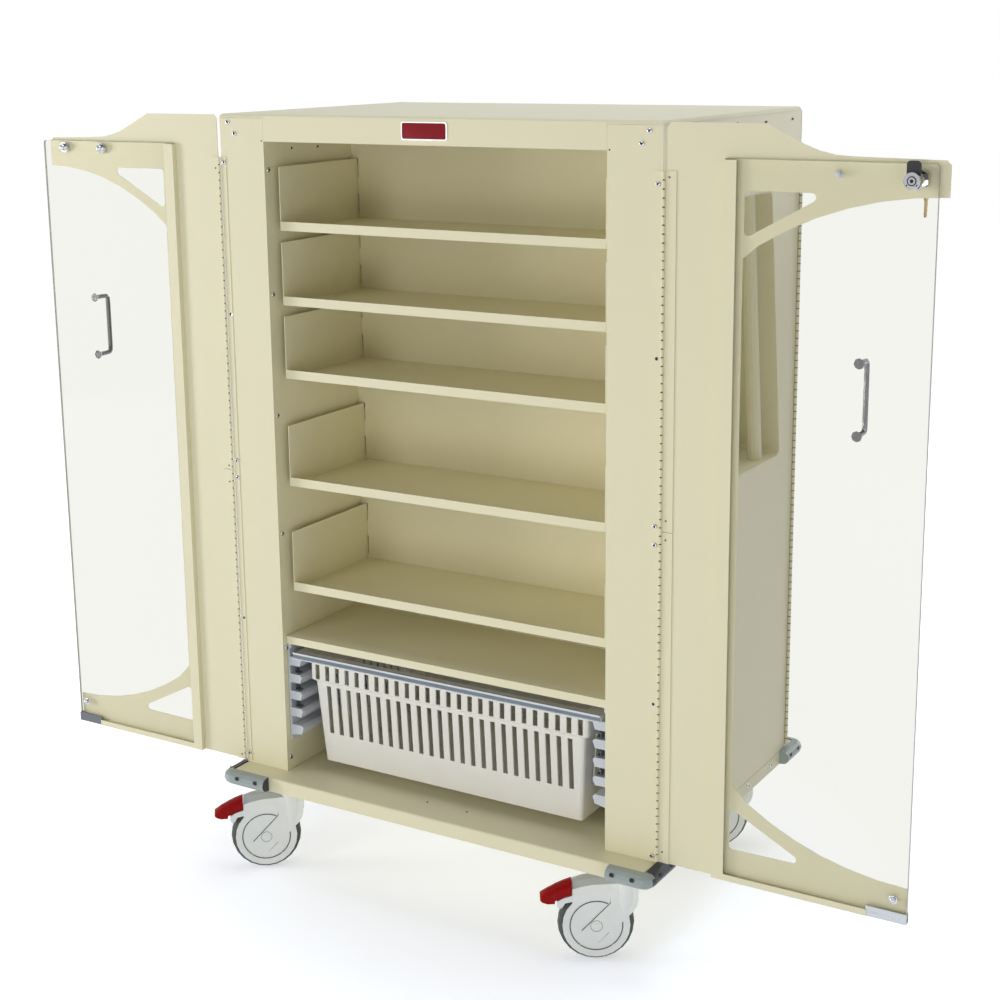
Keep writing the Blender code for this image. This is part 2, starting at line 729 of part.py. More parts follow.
def make_basket():
    """Tapered tub with a wider top band and a flat rim. The whole of it moves as one on the rails."""
    bm = bmesh.new()
    loft(bm, tub_stations(0, TUB_LOW, RIM_LOW + RIM_BAR_DOWN))
    front = -HALF_D + RIM_IN
    basket = solid("basket", bm, "basket", pivot=(0, front, RIM_LOW))
    rim = bmesh.new()
    box(rim, (-RIM_HALF, RIM_HALF), (front, front + RIM_LONG), (RIM_LOW, RIM_LOW + RIM_TALL))
    upper = [e for e in rim.edges if all(v.co.z > RIM_LOW + RIM_BAR_DOWN for v in e.verts)]
    bmesh.ops.bevel(rim, geom=upper, offset=TUB_WALL, segments=2, profile=BEVEL_ROUND, affect="EDGES")
    combine(basket, "UNION", rim)
    combine(basket, "DIFFERENCE", rim_channels(front))
    hollow = bmesh.new()
    loft(hollow, tub_stations(TUB_WALL, TUB_LOW + TUB_FLOOR, RIM_LOW + RIM_TALL * 2))
    combine(basket, "DIFFERENCE", hollow)
    combine(basket, "DIFFERENCE", tub_slots())


def tub_stations(wall, low, high):
    """Rings of the tub's surface, wall deep inside its outer face: the body, the step, then the band."""
    step = BAND_LOW + wall
    return [
        tub_ring(low, BODY_LOW_IN, wall), tub_ring(step, BODY_TOP_IN, wall),
        tub_ring(step + BAND_EASE, (0, 0), wall), tub_ring(high, (0, 0), wall),
    ]


def tub_ring(z, inset, wall):
    half = TUB_HALF - inset[0] - wall
    near = -HALF_D + RIM_IN + TUB_IN + inset[1] + wall
    far = -HALF_D + RIM_IN + RIM_LONG - TUB_IN - inset[1] - wall
    corners = [(-half, near), (half, near), (half, far), (-half, far)]
    return [Vector((x, y, z)) for x, y in rounded(corners, TUB_ROUND - wall, steps=2)]


def rim_channels(front):
    """The groove under each end of the rim, between the tub and the strip that runs on the rail."""
    bm = bmesh.new()
    along = (front + RIM_BAR_IN, front + RIM_LONG - RIM_BAR_IN)
    for x in (LEFT, RIGHT):
        across = (x * (RIM_HALF - RIM_BAR_IN), x * (TUB_HALF + TUB_WALL))
        box(bm, across, along, (RIM_LOW - GAP, RIM_LOW + RIM_BAR_DOWN))
    return bm


def tub_slots():
    """A short row through the front of the band, and a tall row through the body on all four sides."""
    bm = bmesh.new()
    front = -HALF_D + RIM_IN
    middle = front + RIM_LONG / 2
    whole_x = (-TUB_HALF - TUB_WALL, TUB_HALF + TUB_WALL)
    outer_y = (front + RIM_BAR_IN, front + RIM_LONG - RIM_BAR_IN)
    for x in row_of_slots(0, UPPER_FRONT_COUNT):
        box(bm, x, (outer_y[0], middle), UPPER_SLOTS)
    for x in row_of_slots(0, LOWER_FRONT_COUNT):
        box(bm, x, outer_y, LOWER_SLOTS)
    for y in row_of_slots(middle, LOWER_SIDE_COUNT):
        box(bm, whole_x, y, LOWER_SLOTS)
    return bm


def row_of_slots(middle, count):
    """(low, high) of each slot in an evenly spaced row about middle."""
    centres = [middle + (k - (count - 1) / 2) * TUB_SLOT_PITCH for k in range(count)]
    return [(centre - TUB_SLOT_WIDE / 2, centre + TUB_SLOT_WIDE / 2) for centre in centres]


def make_basket_rail(side):
    """A comb seen from the front: a back plate with runners between the grooves."""
    back = INNER - GAP
    root, tip = back - RAIL_BACK, back - RAIL_TOOTH
    ease = RAIL_ROUND
    outline = [(back, RAIL_HIGH), (back, RAIL_LOW), (root, RAIL_LOW)]
    groove_low = [RIM_LOW - GAP - k * RAIL_PITCH for k in range(RAIL_GROOVES)]
    floor = groove_low[-1] - (RAIL_PITCH - RAIL_GROOVE)
    outline += [(root, floor - ease), (tip + ease, floor)]
    for low in reversed(groove_low):
        outline += [(tip, low - ease), (tip + ease, low), (root, low), (root, low + RAIL_GROOVE)]
        outline += [(tip + ease, low + RAIL_GROOVE)]
    outline[-1] = (root - ease, groove_low[0] + RAIL_GROOVE)
    outline += [(root - ease, RAIL_HIGH)]
    front = -HALF_D + RAIL_IN
    bm = bmesh.new()
    prism(bm, [(side * x, z) for x, z in outline], front, front + RAIL_LONG, along_y)
    solid(f"{side_name(side)}_basket_rail", bm, "rail")


# Corner bumpers


def make_bumper(side, face):
    """The D section carried round the corner of the pan, with one leg longer, the same at each corner."""
    corner_x, corner_y = HALF_W + GAP, BASE_HALF_D + GAP
    front_leg, side_leg = (BUMPER_SHORT, BUMPER_LONG) if side * face < 0 else (BUMPER_LONG, BUMPER_SHORT)
    start = (HALF_W - front_leg, corner_y)
    turn = (corner_x - BUMPER_BEND, corner_y - BUMPER_BEND)
    stations = [(start, 0)]
    for step in range(BUMPER_STEPS + 1):
        stations.append((turn, math.pi / 2 * step / BUMPER_STEPS))
    stations.append(((corner_x, BASE_HALF_D - side_leg), math.pi / 2))
    rings = []
    for (x, y), angle in stations:
        out = Vector((math.sin(angle), math.cos(angle)))
        inner = Vector((x, y))
        if (x, y) == turn:
            inner = inner + out * BUMPER_BEND
        rings.append([bumper_point(inner, out, *point, side, face) for point in bumper_section()])
    bm = bmesh.new()
    loft(bm, rings)
    end = "front" if face == FRONT else "rear"
    solid(f"{side_name(side)}_{end}_bumper", bm, "bumper", smooth=True)


def bumper_section():
    """(distance out, height) of the D, flat against the pan."""
    points = [(0, BUMPER_LOW)]
    for step in range(1, DOME_STEPS):
        turn = math.pi * step / DOME_STEPS
        bulge = math.sin(turn) ** BULGE_POWER
        points.append((BUMPER_OUT * bulge, BUMPER_LOW + BUMPER_TALL * (1 - math.cos(turn)) / 2))
    return points + [(0, BUMPER_TOP)]


def bumper_point(inner, out, reach, z, side, face):
    place = inner + out * reach
    return Vector((side * place.x, face * place.y, z))


# Doors


def door_place(side, end):
    """Turns (u, v, z) of the open pose into the cart. The rear doors are turned half round, shut."""

    def place(u, v, z):
        if end == FRONT:
            return Vector((side * (HALF_W + u), -HALF_D + v, z))
        shut_u, shut_v = 2 * PIN_U - u, 2 * PIN_V - v
        return Vector((side * (HALF_W + shut_u), HALF_D - shut_v, z))

    return place


def plate(bm, outline, near, far, place):
    """A flat piece of the door: (u, z) outline between two values of v."""
    prism(bm, outline, near, far, lambda u, z, v: place(u, v, z))


def door_box(bm, us, vs, zs, place):
    plate(bm, [(us[0], zs[0]), (us[1], zs[0]), (us[1], zs[1]), (us[0], zs[1])], *vs, place)


def rise_run():
    """The flowing step from the strap's high top edge down to the arm."""
    heights = (DOOR_HIGH, DOOR_HIGH - RISE_DROP, ARM_TOP, ARM_TOP)
    knots = [Vector((u, z, 0)) for u, z in zip(RISE_US, heights)]
    return [(knot.x, knot.y) for knot in interpolate_bezier(*knots, RISE_STEPS)]


def sheet_outline(side):
    """The steel part of a door: the strap beside the hinge with an arm at the top and one at the bottom."""
    end, low_end = ARM_END[side], PANE_END[side] - LOWER_ARM_SHORT
    return [
        (DOOR_NEAR, DOOR_LOW), (DOOR_NEAR, DOOR_HIGH - CORNER_ROUND), (DOOR_NEAR + CORNER_ROUND, DOOR_HIGH),
        *rise_run(), (end - CORNER_ROUND, ARM_END_TOP), (end, ARM_END_TOP - CORNER_ROUND),
        *level_arc((end, ARM_LOW), UPPER_FOOT), (DOOR_STRAP, UPPER_STRAP), (DOOR_STRAP, LOWER_STRAP),
        *level_arc((low_end, LOWER_ARM_TOP), LOWER_FOOT)[::-1], (low_end, DOOR_LOW),
    ]


def window_corners():
    upper = [(u, BOX_TOP - drop) for u, drop in UPPER_WINDOW]
    return upper, [(u, BASE_TOP + rise) for u, rise in LOWER_WINDOW]


def door_name(side, end):
    return f"{side_name(side)}_{'front' if end == FRONT else 'rear'}_door"


def pin_point(side, end, z=BASE_TOP):
    return door_place(side, end)(PIN_U, PIN_V, z)


def make_door_sheet(side, end):
    """Strap, arms, and the folded post and bottom rail that hold the pane."""
    place = door_place(side, end)
    bm = bmesh.new()
    plate(bm, sheet_outline(side), 0, SHEET, place)
    name = f"{door_name(side, end)}_sheet"
    sheet = solid(name, bm, "paint", pivot=pin_point(side, end))
    windows = bmesh.new()
    for corners in window_corners():
        plate(windows, rounded(corners, WINDOW_ROUND), -SHEET, SHEET * 2, place)
    combine(sheet, "DIFFERENCE", windows)
    post = bmesh.new()
    web = (POST_NEAR, POST_NEAR + SHEET)
    door_box(post, web, (-POST_FACE, SHEET / 2), (DOOR_LOW, POST_HIGH), place)
    combine(sheet, "UNION", post)
    flange = bmesh.new()
    face = (-POST_FACE, -POST_FACE + SHEET)
    door_box(flange, (POST_NEAR + SHEET / 2, POST_FAR), face, (DOOR_LOW, POST_HIGH), place)
    combine(sheet, "UNION", flange)
    rail = bmesh.new()
    run = (POST_NEAR + SHEET / 2, JRAIL_FAR)
    door_box(rail, run, (-POST_FACE, SHEET / 2), (DOOR_LOW, DOOR_LOW + SHEET), place)
    combine(sheet, "UNION", rail)
    lip = bmesh.new()
    door_box(lip, (POST_FAR - SHEET, JRAIL_FAR), face, (DOOR_LOW + SHEET / 2, JRAIL_HIGH), place)
    combine(sheet, "UNION", lip)
    if end == REAR:
        combine(sheet, "UNION", leaf_mesh(side, end, SHEET / 2))
        combine(sheet, "UNION", knuckle_mesh(side, end))
    return sheet


def round_point(centre, radius, turn, z):
    return Vector((centre.x + radius * math.cos(turn), centre.y + radius * math.sin(turn), z))


def knuckle_mesh(side, end):
    """The knuckle tube on the pin, in two lengths parted by a nick."""
    place = door_place(side, end)
    low, high = place(PIN_U, PIN_V, HINGE_LOW), place(PIN_U, PIN_V, HINGE_HIGH)
    turns = [math.tau * k / KNUCKLE_SIDES for k in range(KNUCKLE_SIDES)]
    thin = KNUCKLE - HINGE_NICK
    heights = (
        (low.z, KNUCKLE), (HINGE_SPLIT - HINGE_NICK * 2, KNUCKLE), (HINGE_SPLIT - HINGE_NICK, thin),
        (HINGE_SPLIT + HINGE_NICK, thin), (HINGE_SPLIT + HINGE_NICK * 2, KNUCKLE), (high.z, KNUCKLE),
    )
    bm = bmesh.new()
    loft(bm, [[round_point(low, r, t, z) for t in turns] for z, r in heights])
    return bm


def leaf_mesh(side, end, back):
    """The hinge leaf on the door's strap, as deep as back says."""
    bm = bmesh.new()
    across = (LEAF_FIRST - KNUCKLE / 2, LEAF_LAST)
    door_box(bm, across, (-GAP - LEAF_THICK, back), (HINGE_LOW, HINGE_HIGH), door_place(side, end))
    return bm


def make_hinge(side):
    """A front door's own hinge half: knuckle tube and leaf."""
    name = f"{door_name(side, FRONT)}_hinge"
    hinge = solid(name, knuckle_mesh(side, FRONT), "paint", pivot=pin_point(side, FRONT), smooth=True)
    combine(hinge, "UNION", leaf_mesh(side, FRONT, -GAP))


def make_pane(side, end):
    place = door_place(side, end)
    far = PANE_END[side]
    corners = [(PANE_NEAR, PANE_LOW), (far, PANE_LOW), (far, PANE_HIGH), (PANE_NEAR, PANE_HIGH)]
    per_corner = FILLET_STEPS + 1
    outline = corners[:1] + rounded(corners, CORNER_ROUND)[per_corner : per_corner * 3] + corners[3:]
    bm = bmesh.new()
    plate(bm, outline, -GAP - PANE_THICK, -GAP, place)
    pane = solid(f"{door_name(side, end)}_pane", bm, "clear", pivot=pin_point(side, end))
    return pane


def make_handle(side, end):
    """Pull bar: out from the pane, round two bends and back, with a flared foot at each end."""
    place = door_place(side, end)
    low, high, out = HANDLE_LOW, HANDLE_LOW + HANDLE_LONG, HANDLE_REACH
    bend = [(out - HANDLE_BEND, low), (out, low), (out, low), (out, low + HANDLE_BEND)]
    curve = interpolate_bezier(*(Vector((*point, 0)) for point in bend), HANDLE_BEND_STEPS)
    lower = [(0, low, HANDLE_FOOT), (FLARE_LONG, low, HANDLE_RADIUS)]
    lower += [(p.x, p.y, HANDLE_RADIUS) for p in curve]
    stations = lower + [(v, low + high - z, r) for v, z, r in reversed(lower)]
    path = [place(HANDLE_U, v, z) for v, z, _ in stations]
    bm = bmesh.new()
    loft(bm, tube_rings(path, [r for _, _, r in stations], HANDLE_SIDES))
    solid(f"{door_name(side, end)}_handle", bm, "chrome", pivot=pin_point(side, end), smooth=True)


# Lock on the right front door


def lock_centre(v):
    return door_place(RIGHT, FRONT)(LOCK_U, v, LOCK_Z)


def drill_for_lock(target):
    hole = bmesh.new()
    rod(hole, lock_centre(-POST_FACE * 2), lock_centre(POST_FACE * 2), LOCK_RADIUS + GAP, LOCK_SIDES)
    combine(target, "DIFFERENCE", hole)


def make_lock():
    """Barrel with an outer flange and an inner hexagon nut, bored for the spindle of the cam."""
    bm = bmesh.new()
    rod(bm, lock_centre(-LOCK_REACH), lock_centre(SHEET * 2), LOCK_RADIUS, LOCK_SIDES)
    barrel = solid("lock_barrel", bm, "chrome", pivot=pin_point(RIGHT, FRONT), smooth=True)
    flange = bmesh.new()
    outer = SHEET + GAP
    rod(flange, lock_centre(outer), lock_centre(outer + LOCK_FLANGE_THICK), LOCK_FLANGE, LOCK_SIDES)
    combine(barrel, "UNION", flange)
    nut = bmesh.new()
    inner = -GAP * 2 - PANE_THICK
    rod(nut, lock_centre(inner), lock_centre(inner - LOCK_NUT_THICK), LOCK_NUT, sides=6)
    combine(barrel, "UNION", nut)
    bore = bmesh.new()
    rod(bore, lock_centre(-LOCK_REACH * 2), lock_centre(LOCK_REACH), LOCK_BORE, SMALL_STEPS)
    combine(barrel, "DIFFERENCE", bore)


def make_cam():
    """The tongue under the barrel's end nut, fast to a spindle that runs through to the key."""
    place = door_place(RIGHT, FRONT)
    half = CAM_HALF
    near, far, foot = LOCK_U - half, LOCK_U + half, LOCK_Z - half * CAM_TAIL_SHARE
    outline = rounded([(near, foot), (far, foot), (far, CAM_TIP), (near, CAM_TIP)], half / 2)
    bm = bmesh.new()
    seat = -LOCK_REACH - GAP
    plate(bm, outline, seat - CAM_THICK, seat, place)
    cam = solid("lock_cam", bm, "black", pivot=lock_centre(seat))
    spindle = bmesh.new()
    inside = lock_centre(seat - CAM_THICK / 2)
    rod(spindle, inside, lock_centre(LOCK_FLANGE_THICK + SHEET), SPINDLE, SMALL_STEPS)
    combine(cam, "UNION", spindle)
    boss = bmesh.new()
    rod(boss, inside, lock_centre(seat - CAM_THICK - END_BOSS_LONG), END_BOSS, LOCK_SIDES)
    combine(cam, "UNION", boss)


def make_key():
    """Key in the lock: a round bow with a ring hole, on a flat neck."""
    place = door_place(RIGHT, FRONT)
    start = LOCK_FLANGE_THICK + SHEET + GAP * 2
    centre_v = start + KEY_REACH - KEY_BOW
    bow = [
        (centre_v + KEY_BOW * math.cos(t), LOCK_Z + KEY_BOW * math.sin(t))
        for t in (math.tau * k / SMALL_STEPS for k in range(SMALL_STEPS))
    ]
    thick = (LOCK_U - KEY_THICK / 2, LOCK_U + KEY_THICK / 2)
    bm = bmesh.new()
    prism(bm, bow, *thick, lambda v, z, u: place(u, v, z))
    key = solid("key", bm, "brass", pivot=lock_centre(start))
    neck = bmesh.new()
    door_box(neck, thick, (start, centre_v), (LOCK_Z - KEY_NECK, LOCK_Z + KEY_NECK), place)
    combine(key, "UNION", neck)
    eye = bmesh.new()
    at = centre_v + KEY_BOW / 3
    rod(eye, place(thick[0] - SHEET, at, LOCK_Z), place(thick[1] + SHEET, at, LOCK_Z), KEY_HOLE, SMALL_STEPS)
    combine(key, "DIFFERENCE", eye)


# Casters


def stem_point(side, end):
    return Vector((side * (HALF_W - STEM_IN), end * (BASE_HALF_D - STEM_BACK), WHEEL_RADIUS))


def caster_yaw(side, end):
    return math.radians(CASTER_YAW[side, end])


def caster_name(side, end):
    return f"{side_name(side)}_{'front' if end == FRONT else 'rear'}_caster"


def caster_frame(side, end):
    """An empty on the wheel's axle, turned to the rolling direction, that carries the helper shapes."""
    frame = bpy.data.objects.new(f"{caster_name(side, end)}_axle", None)
    frame.parent = FRAME
    yaw = caster_yaw(side, end)
    frame.location = stem_point(side, end) - TRAIL * Vector((math.cos(yaw), math.sin(yaw), 0))
    frame.rotation_euler = (0, 0, yaw)
    CART.objects.link(frame)
    return frame


def on_caster(obj, frame, pivot=(0, 0, 0)):
    """Hangs a shape that was built about the axle on its caster, with its origin at pivot."""
    obj.data.transform(Matrix.Translation(-Vector(pivot)))
    obj.parent = frame
    obj.location = pivot
    return obj


def dome_ring(u, low, crest, half):
    """A caster hood section: upright sides with a rounded top, as points across the wheel."""
    shoulder = low + (crest - low) * DOME_SHARE
    points = [Vector((u, -half, low))]
    for step in range(DOME_STEPS + 1):
        turn = math.pi * step / DOME_STEPS
        points.append(Vector((u, -half * math.cos(turn), shoulder + (crest - shoulder) * math.sin(turn))))
    return points + [Vector((u, half, low))]


def disc(half, radius, steps=ROUND_STEPS):
    """A cylinder on the wheel's axle."""
    bm = bmesh.new()
    rod(bm, Vector((0, -half, 0)), Vector((0, half, 0)), radius, steps)
    return bm


def slab(outline, half):
    """A caster side profile of (u, z) pairs made solid across the wheel."""
    bm = bmesh.new()
    prism(bm, outline, -half, half, along_y)
    return bm


def stem_ring(radius, z, slope):
    """A ring round the stem, level or sloped like the foot of the arms that it runs into."""
    turns = [math.tau * k / STEM_STEPS for k in range(STEM_STEPS)]
    reach = [(radius * math.cos(t), radius * math.sin(t)) for t in turns]
    return [Vector((TRAIL + along, across, z + slope * along)) for along, across in reach]


def make_caster_housing(side, end, frame):
    """Stem, hood, wheel covers and arms in one moulding, hollowed for the wheel, with its axle."""
    bm = bmesh.new()
    loft(bm, [
        stem_ring(STEM_RADIUS, STEM_TOP, 0), stem_ring(STEM_RADIUS, STEM_SHANK, 0),
        stem_ring(ARM_HALF - GAP * 2, STEM_FOOT, STEM_SLOPE),
    ])
    housing = solid(f"{caster_name(side, end)}_housing", bm, "caster", smooth=True)
    on_caster(housing, frame, (TRAIL, 0, 0))
    hood = bmesh.new()
    loft(hood, [dome_ring(*station) for station in HOOD_STATIONS])
    combine(housing, "UNION", hood, frame)
    combine(housing, "UNION", slab(SHOE_OUTLINE, SHOE_HALF), frame)
    combine(housing, "UNION", disc(COVER_HALF, COVER_RADIUS), frame)
    combine(housing, "UNION", slab(ARM_OUTLINE, ARM_HALF), frame)
    combine(housing, "DIFFERENCE", disc(WELL_HALF, WELL_RADIUS, WELL_STEPS), frame)
    combine(housing, "UNION", disc(AXLE_CAP_HALF, AXLE_RADIUS, SMALL_STEPS), frame)
    return housing


def make_wheel(side, end, frame):
    """Tyre, web and hub in one turned solid with a bore for the axle."""
    profile = [(HUB_BORE, -RIM_HALF_WIDE), (TYRE_SHOULDER, -TYRE_HALF)]
    crown, turn = WHEEL_RADIUS - TYRE_SHOULDER, math.pi / 4
    profile.append((TYRE_SHOULDER + crown * math.sin(turn), -TYRE_HALF * math.cos(turn)))
    profile += [(WHEEL_RADIUS, 0)] + [(r, -s) for r, s in reversed(profile)]
    bm = bmesh.new()
    turned(bm, profile)
    wheel = solid(f"{caster_name(side, end)}_wheel", bm, "tyre", smooth=True)
    on_caster(wheel, frame)


def make_pedal(side, end, frame):
    """The red brake pedal that closes the end of the hood."""
    bm = bmesh.new()
    loft(bm, [dome_ring(*station) for station in PEDAL_STATIONS])
    pedal = solid(f"{caster_name(side, end)}_pedal", bm, "pedal", smooth=True)
    on_caster(pedal, frame, (PEDAL_PIVOT[0], 0, PEDAL_PIVOT[1]))


def build():
    make_base_pan()
    make_top_pan()
    for side in (LEFT, RIGHT):
        make_side_shell(side)
        make_inner_wall(side)
        make_grip_pocket(side)
        make_basket_rail(side)
        for face in (FRONT, REAR):
            make_grip_bar(side, face)
            make_bumper(side, face)
            frame = caster_frame(side, face)
            make_caster_housing(side, face, frame)
            make_wheel(side, face, frame)
            make_pedal(side, face, frame)
    for face in (FRONT, REAR):
        make_back_panel(face)
    for index, slot in enumerate(FRONT_SHELF_SLOTS):
        make_shelf(f"front_shelf_{index + 1}", FRONT, slot)
    for index, slot in enumerate(REAR_SHELF_SLOTS):
        make_shelf(f"rear_shelf_{index + 1}", REAR, slot)
    make_fixed_shelf()
    make_basket()
    for side in (LEFT, RIGHT):
        make_hinge(side)
        for end in (FRONT, REAR):
            sheet, pane = make_door_sheet(side, end), make_pane(side, end)
            make_handle(side, end)
            if (side, end) == (RIGHT, FRONT):
                drill_for_lock(sheet)
                drill_for_lock(pane)
    make_lock()
    make_cam()
    make_key()


build()
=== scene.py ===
import json
import math

import bmesh
import bpy
from mathutils import Matrix, Vector


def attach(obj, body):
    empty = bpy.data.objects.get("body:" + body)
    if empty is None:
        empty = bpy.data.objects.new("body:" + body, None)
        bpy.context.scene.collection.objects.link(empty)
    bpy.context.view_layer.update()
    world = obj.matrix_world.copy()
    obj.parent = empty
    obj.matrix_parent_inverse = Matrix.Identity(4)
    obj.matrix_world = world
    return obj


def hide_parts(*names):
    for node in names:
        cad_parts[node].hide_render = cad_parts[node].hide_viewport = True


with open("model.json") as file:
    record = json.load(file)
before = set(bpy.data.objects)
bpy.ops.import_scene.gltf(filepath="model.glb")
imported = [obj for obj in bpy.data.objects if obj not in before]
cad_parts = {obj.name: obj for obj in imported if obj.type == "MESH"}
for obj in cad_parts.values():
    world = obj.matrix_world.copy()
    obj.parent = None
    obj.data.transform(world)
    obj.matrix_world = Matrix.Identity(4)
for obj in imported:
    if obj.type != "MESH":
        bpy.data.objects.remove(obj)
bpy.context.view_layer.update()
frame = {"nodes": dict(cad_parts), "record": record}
NODES = frame["nodes"]

# The cabinet as part.py has it, in mm: the front faces -Y, and the whole spread is centred on X
WIDE, DEEP, BASE_TOP, SHIFT = 813, 533.5, 194, 10.5
LEFT, RIGHT, FRONT, REAR = -1, 1, -1, 1
SIDE_NAMES = {LEFT: "left", RIGHT: "right"}
ACROSS, BACK, UP = Vector((1, 0, 0)), Vector((0, 1, 0)), Vector((0, 0, 1))
FACE = -BACK


def at(x_mm, y_mm, z_mm):
    """A point given in mm from the cabinet's left side, front face and base pan top."""
    return Vector(((x_mm - WIDE / 2 - SHIFT) / 1000, (y_mm - DEEP / 2) / 1000, (z_mm + BASE_TOP) / 1000))


def beside(side, out_mm):
    """The place along X that lies out_mm beyond a side of the cabinet, as on an open front door."""
    return -out_mm if side == LEFT else WIDE + out_mm


# Camera, as fitted to the photograph: turn, downward tilt and roll in degrees, lens in pixels, place in mm

PICTURE, SENSOR = 1000, 36
CAMERA_TURNS = (-31.01, 12.79, -0.62)
CAMERA_FOCAL, CAMERA_CENTRE = 1764.6, (496.3, 438.4)
CAMERA_PLACE = (1919.1, -2312.5, 1265.1)


def make_camera():
    azimuth, down, roll = (math.radians(turn) for turn in CAMERA_TURNS)
    ahead = Vector((math.sin(azimuth) * math.cos(down), math.cos(azimuth) * math.cos(down), -math.sin(down)))
    right = Vector((math.cos(azimuth), -math.sin(azimuth), 0))
    up = right.cross(ahead)
    across = right * math.cos(roll) + up * math.sin(roll)
    above = up * math.cos(roll) - right * math.sin(roll)
    data = bpy.data.cameras.new("camera")
    data.lens = CAMERA_FOCAL / PICTURE * SENSOR
    data.sensor_width = SENSOR
    data.shift_x = (PICTURE / 2 - CAMERA_CENTRE[0]) / PICTURE
    data.shift_y = (CAMERA_CENTRE[1] - PICTURE / 2) / PICTURE
    data.clip_end = 100
    camera = bpy.data.objects.new("camera", data)
    turn = Matrix((across, above, -ahead)).transposed().to_4x4()
    camera.matrix_world = Matrix.Translation(at(*CAMERA_PLACE)) @ turn
    bpy.context.scene.collection.objects.link(camera)
    bpy.context.scene.camera = camera


make_camera()

# Materials


def srgb(r, g, b):
    def linear(c):
        c /= 255
        return c / 12.92 if c <= 0.04045 else ((c + 0.055) / 1.055) ** 2.4

    return (linear(r), linear(g), linear(b), 1)


WHITE = (1, 1, 1, 1)


def add_math(tree, kind, first, second):
    """A math node on two values, each a number or a socket. Gives its output."""
    made = tree.nodes.new("ShaderNodeMath")
    made.operation = kind
    for socket, value in zip(made.inputs, (first, second)):
        if isinstance(value, float):
            socket.default_value = value
        else:
            tree.links.new(value, socket)
    return made.outputs[0]


def add_colour_mix(tree, factor, first, second):
    """A mix of two colours, each a tuple or a socket. Gives its output."""
    mix = tree.nodes.new("ShaderNodeMix")
    mix.data_type = "RGBA"
    tree.links.new(factor, mix.inputs["Factor"])
    for socket, value in zip((socket for socket in mix.inputs if socket.type == "RGBA"), (first, second)):
        if isinstance(value, tuple):
            socket.default_value = value
        else:
            tree.links.new(value, socket)
    return next(socket for socket in mix.outputs if socket.type == "RGBA")


class Look:
    """A node material under construction."""

    def __init__(self, name, colour, roughness, metallic=0.0, specular=0.5, ior=1.5):
        self.material = bpy.data.materials.new(name)
        self.material.use_nodes = True
        self.tree = self.material.node_tree
        self.shader = self.tree.nodes["Principled BSDF"]
        self.colour = colour
        self.normal = None
        self.shader.inputs["Base Color"].default_value = colour
        self.shader.inputs["Roughness"].default_value = roughness
        self.shader.inputs["Metallic"].default_value = metallic
        self.shader.inputs["Specular IOR Level"].default_value = specular
        self.shader.inputs["IOR"].default_value = ior

    def node(self, kind, **inputs):
        made = self.tree.nodes.new(kind)
        for name, value in inputs.items():
            made.inputs[name.replace("_", " ")].default_value = value
        return made

    def join(self, source, target):
        self.tree.links.new(source, target)

    def noise(self, scale, detail=2.0, stretch=None):
        texture = self.node("ShaderNodeTexNoise", Scale=scale, Detail=detail)
        source = self.node("ShaderNodeTexCoord").outputs["Object"]
        if stretch:
            mapping = self.node("ShaderNodeMapping", Scale=stretch)
            self.join(source, mapping.inputs["Vector"])
            source = mapping.outputs["Vector"]
        self.join(source, texture.inputs["Vector"])
        return texture.outputs["Fac"]

    def spread(self, source, start, end, low, high, smooth=False):
        """Carries a value from the range start to end over to the range low to high."""
        made = self.node("ShaderNodeMapRange", From_Min=start, From_Max=end, To_Min=low, To_Max=high)
        if smooth:
            made.interpolation_type = "SMOOTHSTEP"
        self.join(source, made.inputs["Value"])
        return made.outputs["Result"]

    def ramp(self, source, low, high):
        """The middle of a noise's range, spread from low to high."""
        return self.spread(source, 0.2, 0.8, low, high)

    def tint(self, source, other, share):
        """Lets the base colour wander towards another one."""
        mixed = add_colour_mix(self.tree, self.ramp(source, 0.0, share), self.colour, other)
        self.join(mixed, self.shader.inputs["Base Color"])

    def gloss(self, source, low, high):
        self.join(self.ramp(source, low, high), self.shader.inputs["Roughness"])

    def bump(self, source, strength, distance):
        made = self.node("ShaderNodeBump", Strength=strength, Distance=distance)
        self.join(source, made.inputs["Height"])
        if self.normal:
            self.join(self.normal, made.inputs["Normal"])
        self.normal = made.outputs["Normal"]
        self.join(self.normal, self.shader.inputs["Normal"])

    def give_way(self, factor, other):
        """Shows another shader's output instead of this look's own where factor is 1."""
        mix = self.node("ShaderNodeMixShader")
        for source, socket in zip((factor, self.shader.outputs[0], other), mix.inputs):
            self.join(source, socket)
        self.join(mix.outputs[0], self.tree.nodes["Material Output"].inputs["Surface"])


def paint_look():
    """Semi-gloss powder coat: a faint orange peel and a slow drift in tone."""
    look = Look("beige_powder_coat", srgb(236, 229, 195), 0.42, specular=0.3)
    look.tint(look.noise(1.6, 1), srgb(231, 225, 192), 0.8)
    look.gloss(look.noise(2.5, 1), 0.39, 0.45)
    look.bump(look.noise(420, 2), 0.015, 0.0006)
    look.bump(look.noise(1400, 1), 0.01, 0.0003)
    return look.material


def plastic_look(name, colour, other, roughness, grain, specular=0.5):
    """Moulded plastic: two close tones, a gloss that varies a little, and a fine grain."""
    look = Look(name, colour, roughness, specular=specular)
    look.tint(look.noise(grain / 40, 2), other, 0.6)
    look.gloss(look.noise(grain / 20, 2), roughness - 0.05, roughness + 0.06)
    look.bump(look.noise(grain, 2), 0.05, 0.0004)
    return look.material


def metal_look(name, colour, other, roughness, grain, stretch=None):
    """Plated or drawn metal with fine marks along one way."""
    look = Look(name, colour, roughness, metallic=1.0)
    look.tint(look.noise(grain / 5, 3, stretch), other, 0.7)
    look.gloss(look.noise(grain / 4, 3, stretch), roughness * 0.7, roughness * 1.4)
    look.bump(look.noise(grain, 2, stretch), 0.03, 0.0002)
    return look.material


